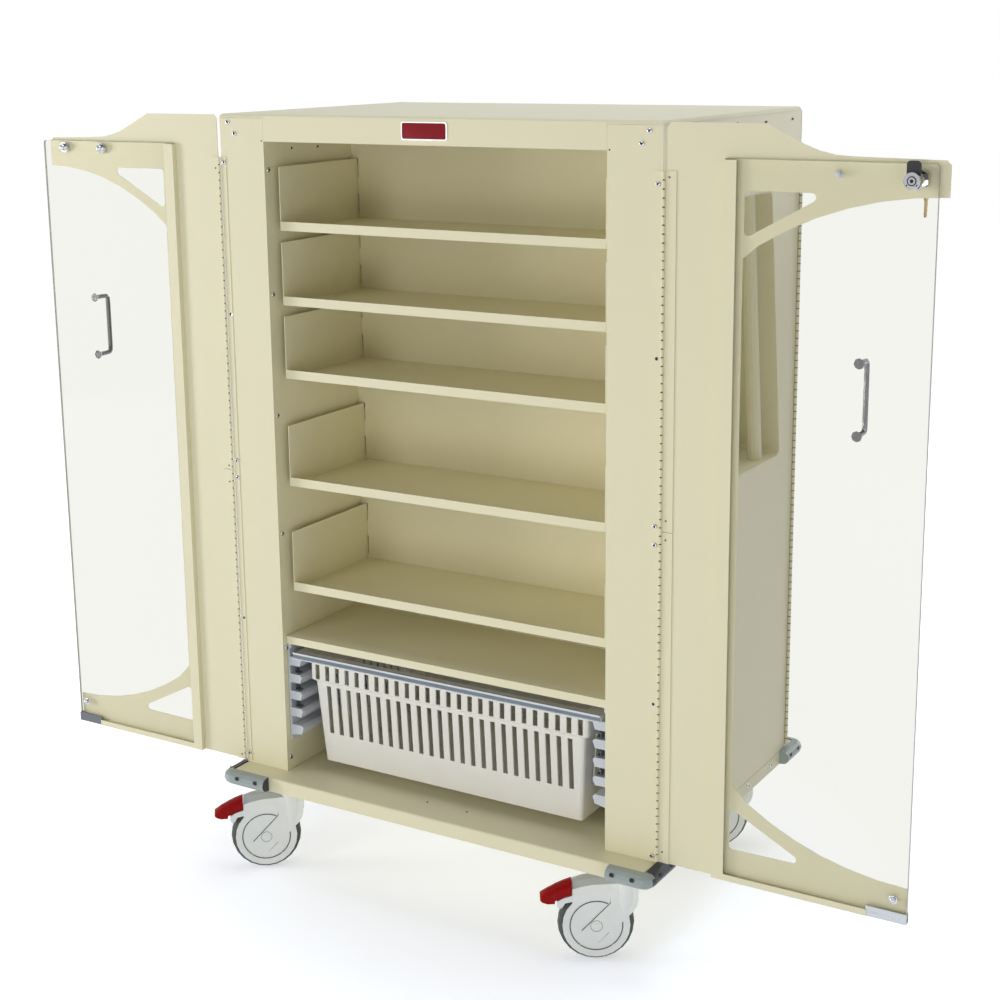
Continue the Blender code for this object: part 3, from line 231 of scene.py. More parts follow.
def tyre_look():
    look = Look("tyre_rubber", srgb(66, 70, 68), 0.6)
    look.tint(look.noise(50, 4), srgb(84, 88, 85), 0.7)
    look.gloss(look.noise(90, 2), 0.5, 0.72)
    look.bump(look.noise(1500, 3), 0.12, 0.0005)
    return look.material


PANE_TINT, PANE_TINT_LOW = srgb(244, 244, 239), srgb(242, 242, 237)
PANE_IOR, PANE_SPECULAR = 1.2, 0.04


def pane_look():
    """Clear acrylic sheet with a faint warm tone, which lets the light of the lamps through.

    It reflects less than real acrylic, so that the lamps don't show as discs in it.
    """
    look = Look("clear_acrylic", PANE_TINT, 0.0, specular=PANE_SPECULAR, ior=PANE_IOR)
    look.shader.inputs["Transmission Weight"].default_value = 1.0
    look.tint(look.noise(1.5, 1), PANE_TINT_LOW, 0.8)
    look.bump(look.noise(1.8, 1), 0.01, 0.001)
    path = look.node("ShaderNodeLightPath")
    light = add_math(look.tree, "MAXIMUM", path.outputs["Is Shadow Ray"], path.outputs["Is Diffuse Ray"])
    look.give_way(light, look.node("ShaderNodeBsdfTransparent").outputs[0])
    return look.material


LOOKS = {
    "paint": paint_look(),
    "basket": plastic_look("basket_plastic", srgb(231, 229, 219), srgb(224, 221, 210), 0.42, 900),
    "rail": plastic_look("rail_plastic", srgb(206, 210, 215), srgb(196, 201, 208), 0.38, 700),
    "bumper": plastic_look("bumper_rubber", srgb(162, 173, 170), srgb(148, 159, 157), 0.34, 1200),
    # Dark navy: the core at a front bumper's cut ends, and painted shade on its side leg.
    "bumper_core_and_leg_shade": plastic_look("bumper_core_rubber_and_leg_shade", srgb(52, 54, 66), srgb(42, 44, 54), 0.45, 1200),
    "caster_grey": plastic_look("caster_plastic", srgb(243, 246, 242), srgb(236, 239, 235), 0.4, 1000),
    # The caster hood's upward top faces get this darker grey as painted shade, for the dimmer light they catch.
    "caster_top_painted_shade": plastic_look("caster_hood_top_painted_shade", srgb(188, 192, 192), srgb(176, 180, 180), 0.4, 1000),
    "tyre": tyre_look(),
    "pedal_red": plastic_look("pedal_plastic", srgb(158, 3, 2), srgb(142, 2, 2), 0.5, 1100, specular=0.15),
    "clear": pane_look(),
    "pane_edge": plastic_look("acrylic_edge", srgb(186, 191, 178), srgb(168, 175, 160), 0.3, 400),
    "handle": metal_look("handle_chrome", srgb(136, 138, 142), srgb(116, 118, 122), 0.16, 700, (1, 1, 6)),
    "chrome": metal_look("bright_chrome", srgb(206, 207, 210), srgb(188, 190, 194), 0.1, 700, (1, 1, 6)),
    "brass": metal_look("key_brass", srgb(176, 150, 102), srgb(150, 126, 82), 0.3, 900),
    "black": plastic_look("blackened_steel", srgb(26, 26, 30), srgb(38, 38, 42), 0.4, 1600),
    # Near black: painted shade inside holes, screw sockets, the lock's keyway and the gaps between hinge knuckles.
    "dark": plastic_look("recess_painted_shade", srgb(16, 16, 18), srgb(24, 24, 26), 0.6, 2000),
    "frame": metal_look("bright_plate_edge", srgb(236, 236, 236), srgb(224, 224, 226), 0.45, 700),
    "rivet": plastic_look("rivet_brown", srgb(112, 100, 74), srgb(98, 86, 62), 0.5, 1500),
    # Grey and dark grey painted shade along the caster moulding's edges and grooves; the dark grey also marks the
    # rear hinges' knuckle gaps and the rail grooves' ends.
    "faint": plastic_look("moulded_edge_shade", srgb(164, 168, 165), srgb(150, 154, 152), 0.5, 1500),
    "groove_and_gap_shade": plastic_look("moulded_groove_shade", srgb(86, 92, 90), srgb(70, 76, 74), 0.5, 1500),
    "clip": plastic_look("clip_plastic", srgb(112, 116, 122), srgb(98, 102, 108), 0.4, 1200),
    "label": metal_look("label_channel_metal", srgb(120, 126, 132), srgb(96, 102, 108), 0.3, 900, (0.1, 1, 1)),
    "steel": metal_look("drawn_steel", srgb(196, 199, 200), srgb(176, 180, 182), 0.3, 900, (0.1, 1, 1)),
    "red": plastic_look("plain_red_plate", srgb(140, 6, 24), srgb(126, 4, 20), 0.5, 1400, specular=0.2),
}

SLOT_OF = {entry["node"]: entry["material_slot"] for entry in frame["record"]["subparts"]}
PIECE_CREASE, HANDLE_CREASE = 35, 50


def shade(obj, crease):
    obj.data.shade_smooth()
    obj.data.set_sharp_from_angle(angle=math.radians(crease))


for name, node in NODES.items():
    node.data.materials.clear()
    node.data.materials.append(LOOKS[SLOT_OF[name]])


def recolour(name, look, chosen):
    """Gives some faces of a CAD node a second look. chosen tests a face's middle and normal in the world."""
    node = NODES[name]
    node.data.materials.append(LOOKS[look])
    for face in node.data.polygons:
        middle = node.matrix_world @ face.center
        normal = (node.matrix_world.to_3x3() @ face.normal).normalized()
        if chosen(middle, normal):
            face.material_index = 1


HOOD_LOW, HOOD_HIGH, HOOD_SLOPE = 0.1, 0.155, 0.45
BUMPER_FRONT = at(0, -38, 0).y


def is_pane_edge(middle, normal):
    return abs(normal.y) < 0.5


# Picks a caster hood's upward top faces, which take a darker grey as painted shade.
def is_shaded_hood_top(middle, normal):
    return normal.z > HOOD_SLOPE and HOOD_LOW < middle.z < HOOD_HIGH


def is_core_end_or_shaded_leg(middle, normal):
    """The cut ends of a front bumper's face leg show its dark core. All of its side leg, which lies under the open
    door, gets the same dark colour as painted shade.
    """
    return middle.y > BUMPER_FRONT or abs(normal.x) > 0.9


for name in NODES:
    if name.endswith("_pane"):
        recolour(name, "pane_edge", is_pane_edge)
    if name.endswith("caster_housing"):
        recolour(name, "caster_top_painted_shade", is_shaded_hood_top)
    if name.endswith("_handle"):
        NODES[name].data.materials[0] = LOOKS["handle"]
        shade(NODES[name], HANDLE_CREASE)
for corner in ("left_front", "right_front"):
    recolour(f"{corner}_bumper", "bumper_core_and_leg_shade", is_core_end_or_shaded_leg)

# What the small pieces are made with


def finish_piece(name, bm, slots, body, replaced=()):
    """Turns bm into a named piece that rides on a CAD body. slots are the looks by material index."""
    bmesh.ops.recalc_face_normals(bm, faces=bm.faces)
    mesh = bpy.data.meshes.new(name)
    bm.to_mesh(mesh)
    bm.free()
    piece = bpy.data.objects.new(name, mesh)
    for look in slots:
        mesh.materials.append(LOOKS[look])
    bpy.context.scene.collection.objects.link(piece)
    shade(piece, PIECE_CREASE)
    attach(piece, body)
    if replaced:
        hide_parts(*replaced)
    return piece


def soften(piece, width):
    bevel = piece.modifiers.new("soft edges", "BEVEL")
    bevel.width, bevel.segments, bevel.limit_method = width, 2, "ANGLE"


def rings_of(bm, rings, index=0, cap_start=True, cap_end=True):
    """A skin over rings of points, each with as many points as the next."""
    loops = [[bm.verts.new(point) for point in ring] for ring in rings]
    for near, far in zip(loops, loops[1:]):
        for i in range(len(near)):
            after = (i + 1) % len(near)
            bm.faces.new((near[i], near[after], far[after], far[i])).material_index = index
    if cap_start:
        bm.faces.new(loops[0][::-1]).material_index = index
    if cap_end:
        bm.faces.new(loops[-1]).material_index = index


def add_steps(bm, ring, steps):
    """Runs of rings that follow on each other, each with its own look. ring takes a step's measures."""
    for k, (run, index) in enumerate(steps):
        rings_of(bm, [ring(*step) for step in run], index, cap_start=k == 0, cap_end=k == len(steps) - 1)


def axes_for(normal):
    normal = Vector(normal).normalized()
    side = normal.orthogonal().normalized()
    return side, normal.cross(side).normalized(), normal


def arc(start, end, steps):
    """Angles from start to end, which are in degrees."""
    return [math.radians(start + (end - start) * k / steps) for k in range(steps + 1)]


def hexagon(angle, reach):
    """How far a hexagon reaches at an angle, where reach is that of its corners."""
    within = (angle + math.pi / 6) % (math.pi / 3) - math.pi / 6
    return reach * math.cos(math.pi / 6) / math.cos(within)


def circle(centre, side, up, reach, count, six=False):
    """Points round centre in the plane of side and up, on a circle or on a hexagon."""
    points = []
    for turn in arc(0, 360, count)[:-1]:
        out = hexagon(turn, reach) if six else reach
        points.append(centre + (side * math.cos(turn) + up * math.sin(turn)) * out)
    return points


def circles_on(point, normal, count):
    """A function that gives a circle about point from its reach and its height along normal."""
    side, up, out = axes_for(normal)

    def ring(reach, height, six=False):
        return circle(Vector(point) + out * height, side, up, reach, count, six)

    return ring


# Points of a circle on a screw or a nut, on an empty hole and on a hinge's knuckle
SCREW_POINTS, HOLE_POINTS, KNUCKLE_POINTS = 24, 20, 12
# A screw's head from its edge inwards, in shares of its radius and of its height
HEAD_PROFILE = ((1, 0.25), (0.93, 0.6), (0.78, 0.88), (0.6, 1))
SOCKET_TOP, SOCKET_FOOT, SOCKET_DEEP = 0.5, 0.46, 0.35
HEAD_SUNK, WASHER_SUNK = 0.0004, 0.0002


def add_screw(bm, point, normal, radius=0.0043, tall=0.0022):
    """Button head with a hexagonal socket. Index 0 is the head, 1 the shallow socket, whose dark look is painted
    shade for its depth.
    """
    ring = circles_on(point, normal, SCREW_POINTS)
    head = [ring(radius, -HEAD_SUNK)] + [ring(radius * a, tall * b) for a, b in HEAD_PROFILE]
    rings_of(bm, head + [ring(radius * SOCKET_TOP, tall, six=True)], 0, cap_end=False)
    foot = ring(radius * SOCKET_FOOT, tall * SOCKET_DEEP, six=True)
    rings_of(bm, [ring(radius * SOCKET_TOP, tall, six=True), foot], 1, cap_start=False)


def add_dark_hole(bm, point, normal, radius=0.0024, rim=1.3):
    """An empty hole: a rim, whose radius is rim times the hole's, round a bottom just under the surface; with a
    dark look there, it is painted shade for the hole's depth.
    """
    ring = circles_on(point, normal, HOLE_POINTS)
    edge, lip, bottom = 0.0003, 0.0002, 0.0001
    rings_of(bm, [ring(radius * rim, -lip), ring(radius * rim, edge), ring(radius, lip)], 0, cap_end=False)
    rings_of(bm, [ring(radius, lip), ring(radius * 0.9, bottom)], 1, cap_start=False)


def add_acorn_nut(bm, point, normal, washer, reach, tall):
    """A washer, a hexagon and a domed cap on it."""
    ring = circles_on(point, normal, SCREW_POINTS)
    flat, crown = tall * 0.14, tall * 0.5
    rings_of(bm, [ring(washer, -WASHER_SUNK), ring(washer, flat * 0.7), ring(washer * 0.95, flat),
                  ring(reach, flat)])
    rings_of(bm, [ring(reach, flat, six=True), ring(reach, crown, six=True), ring(reach * 0.9, tall * 0.52)])
    dome = arc(0, 90, 6)[:-1]
    rings_of(bm, [ring(reach * 0.84 * math.cos(t), crown + crown * math.sin(t)) for t in dome])


def screws(name, heads, holes=()):
    """Screws in the cabinet, each a point, a normal and, if it isn't the usual one, a radius."""
    bm = bmesh.new()
    for head in heads:
        add_screw(bm, *head)
    for hole in holes:
        add_dark_hole(bm, *hole)
    finish_piece(name, bm, ("chrome", "dark"), "cabinet")


def both_faces(x, z, lift=0.0):
    """The same place on the front and the rear of the cabinet, each with its outward normal."""
    front = at(x, -lift, z)
    rear = Vector((front.x, -front.y, front.z))
    return [(front, FACE), (rear, -FACE)]


def both_sides(x, y, z):
    """The same place by the left and the right side, each with its normal towards the middle."""
    return [(at(x, y, z), ACROSS), (at(WIDE - x, y, z), -ACROSS)]


# Screws in the cabinet

CORNER_SCREWS = ((17.5, 1133.9), (31, 1115.6), (791.3, 1133.3), (779, 1114.5))
LEAF_X, LEAF_LIFT, LEAF_HEAD = {LEFT: 7, RIGHT: 806}, 1.2, 0.0040
LEAF_SCREWS = {LEFT: (1068, 557.6, 527.8, 19.9), RIGHT: (1058, 547, 518, 11.7)}
LEAF_HOLES = {LEFT: (813, 272.7), RIGHT: (803, 263.5)}
WALL_X, WALL_SCREW_YS, WALL_SCREW_ZS = 90, (10, 523.5), (1057, 850.5, 643.5, 435.5, 228, 23.4)
FOOT_XS, FOOT_YS, FOOT_Z, FOOT_HEAD = (100, 252, 403, 554, 706), (226, 307.5), 251.3, 0.0034
BASE_YS, BASE_Z = (64, 166.8, 366.7, 469.5), -11


def cabinet_screws():
    corners, leaves, leaf_holes = [], [], []
    for x, z in CORNER_SCREWS:
        corners += both_faces(x, z)
    for side in (LEFT, RIGHT):
        for z in LEAF_SCREWS[side]:
            leaves += [(*place, LEAF_HEAD) for place in both_faces(LEAF_X[side], z, LEAF_LIFT)]
        for z in LEAF_HOLES[side]:
            leaf_holes += both_faces(LEAF_X[side], z, LEAF_LIFT)
    walls = [place for z in WALL_SCREW_ZS for y in WALL_SCREW_YS for place in both_sides(WALL_X, y, z)]
    feet = [(at(x, y, FOOT_Z), UP, FOOT_HEAD) for x in FOOT_XS for y in FOOT_YS]
    base = [(at(x, y, BASE_Z), out) for y in BASE_YS for x, out in ((WIDE, ACROSS), (0, -ACROSS))]
    screws("corner_screws", corners)
    screws("hinge_leaf_screws", leaves, leaf_holes)
    screws("wall_screws", walls)
    screws("panel_foot_screws", feet)
    screws("base_screws", base)


cabinet_screws()

# Holes in the bumpers and the sheets, which have next to no rim

FLUSH = 1.05
BUMPER_OUT, BUMPER_Z, BUMPER_HOLE, BUMPER_FLUSH = 18.05, -8, 0.0040, 1.02
BUMPER_YS = {FRONT: -40, REAR: 573.5}
# How far a leg's two holes are from its corner. Each bumper has one leg of either kind
NEAR_HOLES, FAR_HOLES = (13.5, 48.7), (21.2, 61.1)


def bumper_holes():
    """Deep socket screws, seen as dark holes in the bumpers' outer faces: flat discs with painted shade for the
    sockets' depth.
    """
    bm = bmesh.new()
    for end in (FRONT, REAR):
        for side in (LEFT, RIGHT):
            face_holes, side_holes = (FAR_HOLES, NEAR_HOLES) if side == end else (NEAR_HOLES, FAR_HOLES)
            for inset in face_holes:
                point = at(beside(side, -inset), BUMPER_YS[end] + end * BUMPER_OUT, BUMPER_Z)
                add_dark_hole(bm, point, BACK * end, BUMPER_HOLE, BUMPER_FLUSH)
            for inset in side_holes:
                point = at(beside(side, BUMPER_OUT), BUMPER_YS[end] - end * inset, BUMPER_Z)
                add_dark_hole(bm, point, ACROSS * side, BUMPER_HOLE, BUMPER_FLUSH)
    finish_piece("bumper_holes", bm, ("dark", "dark"), "cabinet")


WALL_HOLES, WALL_HOLE_X = ((75.4, 1089.0), (148.2, 1087.5)), 90.3
SIDE_HOLE_Y, SIDE_HOLE_Z = 264.8, 1132
PAN_HOLE_XS, PAN_HOLE_Y = (377.0, 456.2), 12.4
OPENING_HOLE_XS, OPENING_HOLE_Z = (86.5, 726.5), 1104.5
WALL_HOLE, SIDE_HOLE, PAN_HOLE, OPENING_HOLE = 0.0020, 0.0019, 0.0018, 0.0012


def pinholes():
    """Small open holes in the walls, the side sheets, the base pan and the corners of the opening, drawn as flat
    discs with painted shade for their depth.
    """
    places = []
    for y, z in WALL_HOLES:
        places += [(point, normal, WALL_HOLE) for point, normal in both_sides(WALL_HOLE_X, y, z)]
    places += [(point, -normal, SIDE_HOLE) for point, normal in both_sides(0, SIDE_HOLE_Y, SIDE_HOLE_Z)]
    places += [(at(x, PAN_HOLE_Y, 0), UP, PAN_HOLE) for x in PAN_HOLE_XS]
    for x in OPENING_HOLE_XS:
        places += [(point, normal, OPENING_HOLE) for point, normal in both_faces(x, OPENING_HOLE_Z)]
    bm = bmesh.new()
    for point, normal, radius in places:
        add_dark_hole(bm, point, normal, radius, FLUSH)
    finish_piece("pinholes", bm, ("dark", "dark"), "cabinet")


bumper_holes()
pinholes()

# Hinge knuckles

HINGE_LOW, HINGE_HIGH, HINGE_SEAM = 4, 1077, 540
KNUCKLES = 83
KNUCKLE_PITCH = (HINGE_HIGH - HINGE_LOW) / KNUCKLES
KNUCKLE_GAP, KNUCKLE_EASE, KNUCKLE_RADIUS = 0.9, 0.3, 0.0027
KNUCKLE_END_SHARE, PIN_SHARE = 0.8, 0.55
GAP_RING, GAP_HALF = 0.0028, 0.8
PIN_OUT, PIN_FRONT, PIN_REAR = 2.5, -3, 536.5
DOOR_LEAF = (3.5, 22)
LEAF_FRONT, LEAF_BACK = -1.5, -0.3
RIVETS = {LEFT: (11.3, (1058, 547, 518, 12)), RIGHT: (11, (1067.8, 557.7, 528, 22))}
RIVET_RADIUS = 0.0015
SEAM_FRONT, SEAM_BACK, SEAM_HALF = -1.6, -0.9, 0.0003


def pin_ring(side, y, z, reach):
    """A level ring round the pin of a hinge."""
    return circle(at(beside(side, PIN_OUT), y, z), ACROSS, BACK, reach, KNUCKLE_POINTS)


def front_hinge(side):
    """The front hinge with every knuckle parted, over the leaf on the door."""
    bm = bmesh.new()
    for k in range(KNUCKLES):
        low = HINGE_LOW + k * KNUCKLE_PITCH + KNUCKLE_GAP
        high = HINGE_LOW + (k + 1) * KNUCKLE_PITCH - KNUCKLE_GAP
        tube = ((low, KNUCKLE_END_SHARE), (low + KNUCKLE_EASE, 1), (high - KNUCKLE_EASE, 1),
                (high, KNUCKLE_END_SHARE))
        rings_of(bm, [pin_ring(side, PIN_FRONT, z, KNUCKLE_RADIUS * share) for z, share in tube])
    # The pin, seen in the gaps between knuckles, is near black as painted shade in those gaps.
    pin_ends = (HINGE_LOW + KNUCKLE_GAP, HINGE_HIGH - KNUCKLE_GAP)
    rings_of(bm, [pin_ring(side, PIN_FRONT, z, KNUCKLE_RADIUS * PIN_SHARE) for z in pin_ends], 1)
    near, far = (beside(side, out) for out in DOOR_LEAF)
    leaf = ((near, LEAF_FRONT), (far, LEAF_FRONT), (far, LEAF_BACK), (near, LEAF_BACK))
    rings_of(bm, [[at(x, y, z) for x, y in leaf] for z in (HINGE_LOW, HINGE_HIGH)])
    name = SIDE_NAMES[side]
    finish_piece(f"{name}_front_hinge", bm, ("paint", "dark"), f"{name}_front_door",
                 replaced=(f"{name}_front_door_hinge",))


def hinge_rivets(side):
    """The rivets in a front hinge's leaf, and the seam where its two lengths meet."""
    bm = bmesh.new()
    out, heights = RIVETS[side]
    for z in heights:
        add_dark_hole(bm, at(beside(side, out), LEAF_FRONT, z), FACE, RIVET_RADIUS, FLUSH)
    near, far = (beside(side, out) for out in DOOR_LEAF)
    band = ((near, SEAM_FRONT), (far, SEAM_FRONT), (far, SEAM_BACK), (near, SEAM_BACK))
    rings_of(bm, [[at(x, y, HINGE_SEAM) + UP * lift for x, y in band] for lift in (-SEAM_HALF, SEAM_HALF)])
    name = SIDE_NAMES[side]
    finish_piece(f"{name}_hinge_rivets", bm, ("rivet", "rivet"), f"{name}_front_door")


def rear_hinge(side):
    """Dark rings that part the knuckles of a rear hinge, whose tube is on the door's own sheet: painted shade in
    the gaps.
    """
    bm = bmesh.new()
    for k in range(1, KNUCKLES):
        z = HINGE_LOW + k * KNUCKLE_PITCH
        rings_of(bm, [pin_ring(side, PIN_REAR, level, GAP_RING) for level in (z - GAP_HALF, z + GAP_HALF)])
    name = SIDE_NAMES[side]
    finish_piece(f"{name}_rear_hinge_gaps", bm, ("groove_and_gap_shade",), f"{name}_rear_door")


for side in (LEFT, RIGHT):
    front_hinge(side)
    hinge_rivets(side)
    rear_hinge(side)

# Plain plate on the header

PLATE_PLACE = (405, 0, 1125.8)
PLATE_WIDE, PLATE_TALL = 0.0850, 0.0290
# The plate from its foot inwards: (inset, lift, corner radius) of each ring, and the index of the look
PLATE_STEPS = (
    (((0, 0.0001, 0.004), (0, 0.0012, 0.004), (0.0004, 0.0016, 0.004), (0.0022, 0.0016, 0.003),
      (0.0022, 0.0012, 0.003)), 0),
    (((0.0022, 0.0012, 0.003), (0.0028, 0.0013, 0.0025)), 1),
)


def rounded_rect(width, height, radius):
    """A rectangle's outline with round corners, as pairs about its middle."""
    points = []
    for right, top, start in ((1, 1, 0), (-1, 1, 90), (-1, -1, 180), (1, -1, 270)):
        middle_x, middle_y = right * (width / 2 - radius), top * (height / 2 - radius)
        for turn in arc(start, start + 90, 6):
            points.append((middle_x + radius * math.cos(turn), middle_y + radius * math.sin(turn)))
    return points


def header_plate():
    """A bright rim round a plain red field that is sunk a little into it."""
    centre = at(*PLATE_PLACE)

    def ring(inset, lift, radius):
        outline = rounded_rect(PLATE_WIDE - inset * 2, PLATE_TALL - inset * 2, radius)
        return [centre + Vector((a, -lift, b)) for a, b in outline]

    bm = bmesh.new()
    add_steps(bm, ring, PLATE_STEPS)
    finish_piece("plain_header_plate", bm, ("frame", "red"), "cabinet")


header_plate()

# Basket bar and rail clips, and the corner clips of the panes

BAR_XS, BAR_Y, BAR_Z = (104, 709), 9.9, 210.6
BAR_LIP, BAR_DEEP, BAR_TALL, STRIP_INSET = 0.0018, 0.0024, 0.0118, 0.0006


def strip(bm, profile, index):
    """A profile of (height, depth) pairs carried along the front of the basket's rim."""
    ends = [at(x, BAR_Y, BAR_Z) for x in BAR_XS]
    rings_of(bm, [[end + Vector((0, y, z)) for z, y in profile] for end in ends], index)


def basket_bar():
    """The bright channel on the front of the rim, with a duller strip slid into it."""
    bm = bmesh.new()
    floor, band, top = -BAR_DEEP / 3, -BAR_DEEP * 0.6, BAR_TALL - BAR_LIP
    strip(bm, [(0, 0), (0, -BAR_DEEP), (BAR_LIP, -BAR_DEEP), (BAR_LIP, floor), (top, floor), (top, -BAR_DEEP),
               (BAR_TALL, -BAR_DEEP), (BAR_TALL, 0)], 0)
    low, high = BAR_LIP + STRIP_INSET, BAR_TALL * 0.62
    strip(bm, [(low, floor), (low, band), (high, band), (high, floor)], 1)
    finish_piece("basket_bar", bm, ("steel", "label"), "basket")


RAIL_CLIP_X, RAIL_CLIP_ZS, RAIL_CLIP_YS = 108.5, (187.6, 156.1, 124.6), (12.6, 24.6)
RAIL_CLIP_WIDE, RAIL_CLIP_TALL, RAIL_CLIP_THICK, RAIL_CLIP_HOOK = 9, 10, 1.2, 5


def rail_clips():
    """Spring clips in the front ends of the free rail grooves, whose dark grey is painted shade in those grooves.
    """
    wide, tall, thick, hook = RAIL_CLIP_WIDE, RAIL_CLIP_TALL, RAIL_CLIP_THICK, RAIL_CLIP_HOOK
    outline = [(0, 0), (wide, 0), (wide, tall), (hook, tall), (hook, tall - thick), (wide - thick, tall - thick),
               (wide - thick, thick), (0, thick)]
    bm = bmesh.new()
    for x, out in ((RAIL_CLIP_X, LEFT), (WIDE - RAIL_CLIP_X, RIGHT)):
        for z in RAIL_CLIP_ZS:
            rings_of(bm, [[at(x + out * (a - wide / 2), y, z - tall / 2 + b) for a, b in outline]
                          for y in RAIL_CLIP_YS])
    finish_piece("rail_clips", bm, ("groove_and_gap_shade",), "cabinet")


PANE_CLIP_START, PANE_CLIP_SOFT = 343, 0.0004
PANE_CLIPS = {LEFT: (398, "clip"), RIGHT: (405, "steel")}
PANE_CLIP_PROFILE = ((4.2, -8.6), (4.2, 1.4), (20.5, 1.4), (20.5, 0.1), (6.0, 0.1), (6.0, -6.7), (20.5, -6.7),
                     (20.5, -8.6))


def pane_clip(side):
    """The channel clip under the free lower corner of a pane, grey on the left and bright on the right."""
    end, look = PANE_CLIPS[side]
    bm = bmesh.new()
    rings_of(bm, [[at(beside(side, out), y, z) for z, y in PANE_CLIP_PROFILE] for out in (PANE_CLIP_START, end)])
    name = SIDE_NAMES[side]
    piece = finish_piece(f"{name}_pane_clip", bm, (look,), f"{name}_front_door")
    soften(piece, PANE_CLIP_SOFT)


basket_bar()
rail_clips()
pane_clip(LEFT)
pane_clip(RIGHT)

# Nuts on the doors' inner face

ARM_FACE_Y, PANE_FACE_Y = -6.3, -8.6
ARM_NUTS = {LEFT: ((348, 1085.5), (261, 1085.5)), RIGHT: ()}
CORNER_NUTS = {LEFT: (378, 46), RIGHT: (384, 40)}
STOP_PLACE = (266, 1080.4)
# Washer, hexagon and height of each kind
ARM_NUT, CORNER_NUT, STOP = (0.0092, 0.0066, 0.0105), (0.0068, 0.0046, 0.0062), (0.0056, 0.0046, 0.0050)


def door_nuts(side):
    bm = bmesh.new()
    for out, z in ARM_NUTS[side]:
        add_acorn_nut(bm, at(beside(side, out), ARM_FACE_Y, z), FACE, *ARM_NUT)
    out, z = CORNER_NUTS[side]
    add_acorn_nut(bm, at(beside(side, out), PANE_FACE_Y, z), FACE, *CORNER_NUT)
    name = SIDE_NAMES[side]
    finish_piece(f"{name}_door_nuts", bm, ("chrome",), f"{name}_front_door")


def door_stop():
    bm = bmesh.new()
    out, z = STOP_PLACE
    add_acorn_nut(bm, at(beside(RIGHT, out), ARM_FACE_Y, z), FACE, *STOP)
    finish_piece("right_door_stop", bm, ("rail",), "right_front_door")


door_nuts(LEFT)
door_nuts(RIGHT)
door_stop()

# The end of the lock, and a spare key on a ring

LOCK_OUT, LOCK_Y, LOCK_Z = 378, -39.35, 1076.5
PIN_HOLE_PLACES, PIN_HOLE_RADIUS = ((-0.0068, -0.0058), (0.0068, -0.0058)), 0.0012
# The lock's end from the outside inwards: (reach, lift) of each ring, and the index of the look
LOCK_STEPS = (
    (((0.0115, -0.0055), (0.0115, 0.0002), (0.0108, 0.0008), (0.0066, 0.0008)), 0),
    (((0.0066, 0.0008), (0.0062, 0.0002), (0.0054, 0.0002)), 1),
    (((0.0054, 0.0002), (0.0050, 0.0012), (0.0026, 0.0012)), 0),
    (((0.0026, 0.0012), (0.0022, 0.0004)), 1),
)


def lock_face():
    """Keyway, ring and pin holes on the end of the lock's round boss; the sunk ring, keyway and pin holes are near
    black as painted shade.
    """
    centre = at(beside(RIGHT, LOCK_OUT), LOCK_Y, LOCK_Z)

    def ring(reach, lift, a=0.0, b=0.0):
        return circle(centre + Vector((a, -lift, b)), ACROSS, UP, reach, SCREW_POINTS)

    bm = bmesh.new()
    add_steps(bm, ring, LOCK_STEPS)
    for a, b in PIN_HOLE_PLACES:
        rings_of(bm, [ring(PIN_HOLE_RADIUS, lift, a, b) for lift in (0.0007, 0.0010)], 1)
    finish_piece("lock_end_face", bm, ("chrome", "dark"), "lock_core")


KEY_RING_PLACE, KEY_RING_REACH, KEY_RING_WIRE = (378, 20.5, 1067), 0.0095, 0.0007
KEY_PLACE, KEY_HALF_THICK, KEY_SOFT = (381.5, 15, 1058), 0.0012, 0.0003
BOW_REACH, BOW_SHARE, BOW_DROP = 0.0105, 0.9, 0.002
KEY_BLADE = (
    (-0.0045, -0.013), (-0.0045, -0.030), (-0.0030, -0.0335), (0.0008, -0.0335), (0.0032, -0.0300),
    (0.0020, -0.0275), (0.0042, -0.0245), (0.0026, -0.0215), (0.0042, -0.0185), (0.0042, -0.013),
)


def key_ring():
    """The split ring between the key in the lock and the spare one."""
    out_mm, y, z = KEY_RING_PLACE
    centre = at(beside(RIGHT, out_mm), y, z)
    rings = []
    for turn in arc(0, 360, 48):
        out = Vector((0, math.sin(turn), math.cos(turn)))
        rings.append(circle(centre + out * KEY_RING_REACH, out, ACROSS, KEY_RING_WIRE, 10))
    bm = bmesh.new()
    rings_of(bm, rings)
    bmesh.ops.remove_doubles(bm, verts=bm.verts, dist=0.00001)
    finish_piece("key_ring", bm, ("chrome",), "lock_core")


def spare_key():
    """A second key: a round bow, flattened a little, and a cut blade."""
    out_mm, y, z = KEY_PLACE
    place = at(beside(RIGHT, out_mm), y, z)
    bow = [(BOW_REACH * math.cos(t) * BOW_SHARE, BOW_REACH * math.sin(t) - BOW_DROP) for t in arc(-60, 240, 14)]
    profile = bow + list(KEY_BLADE)
    bm = bmesh.new()
    rings_of(bm, [[place + Vector((lift, a, b)) for a, b in profile] for lift in (-KEY_HALF_THICK, KEY_HALF_THICK)])
    soften(finish_piece("spare_key", bm, ("brass",), "lock_core"), KEY_SOFT)


lock_face()
key_ring()
spare_key()

# Painted shade lines along the moulding of the casters, about the wheel's centre

COVER_LINE, HUB_LINE = 0.0425, 0.0095
COVER_FACE, ARM_FACE = 0.0166, 0.0187
COVER_ARC = (64, 368)
ARM_END, ARM_END_ARC = 0.0245, (200, 282)
ARM_UPPER_EDGE = ((0.0238, 0.0470), (0.0232, 0.0420), (0.0218, 0.0385), (-0.0231, -0.0083))
ARM_LOWER_EDGE = ((0.0200, -0.0122), (0.0022, -0.0300))
COVER_BEAD, UPPER_BEAD, LOWER_BEAD, HUB_BEAD, END_BEAD = 0.0010, 0.0009, 0.0010, 0.0005, 0.0007


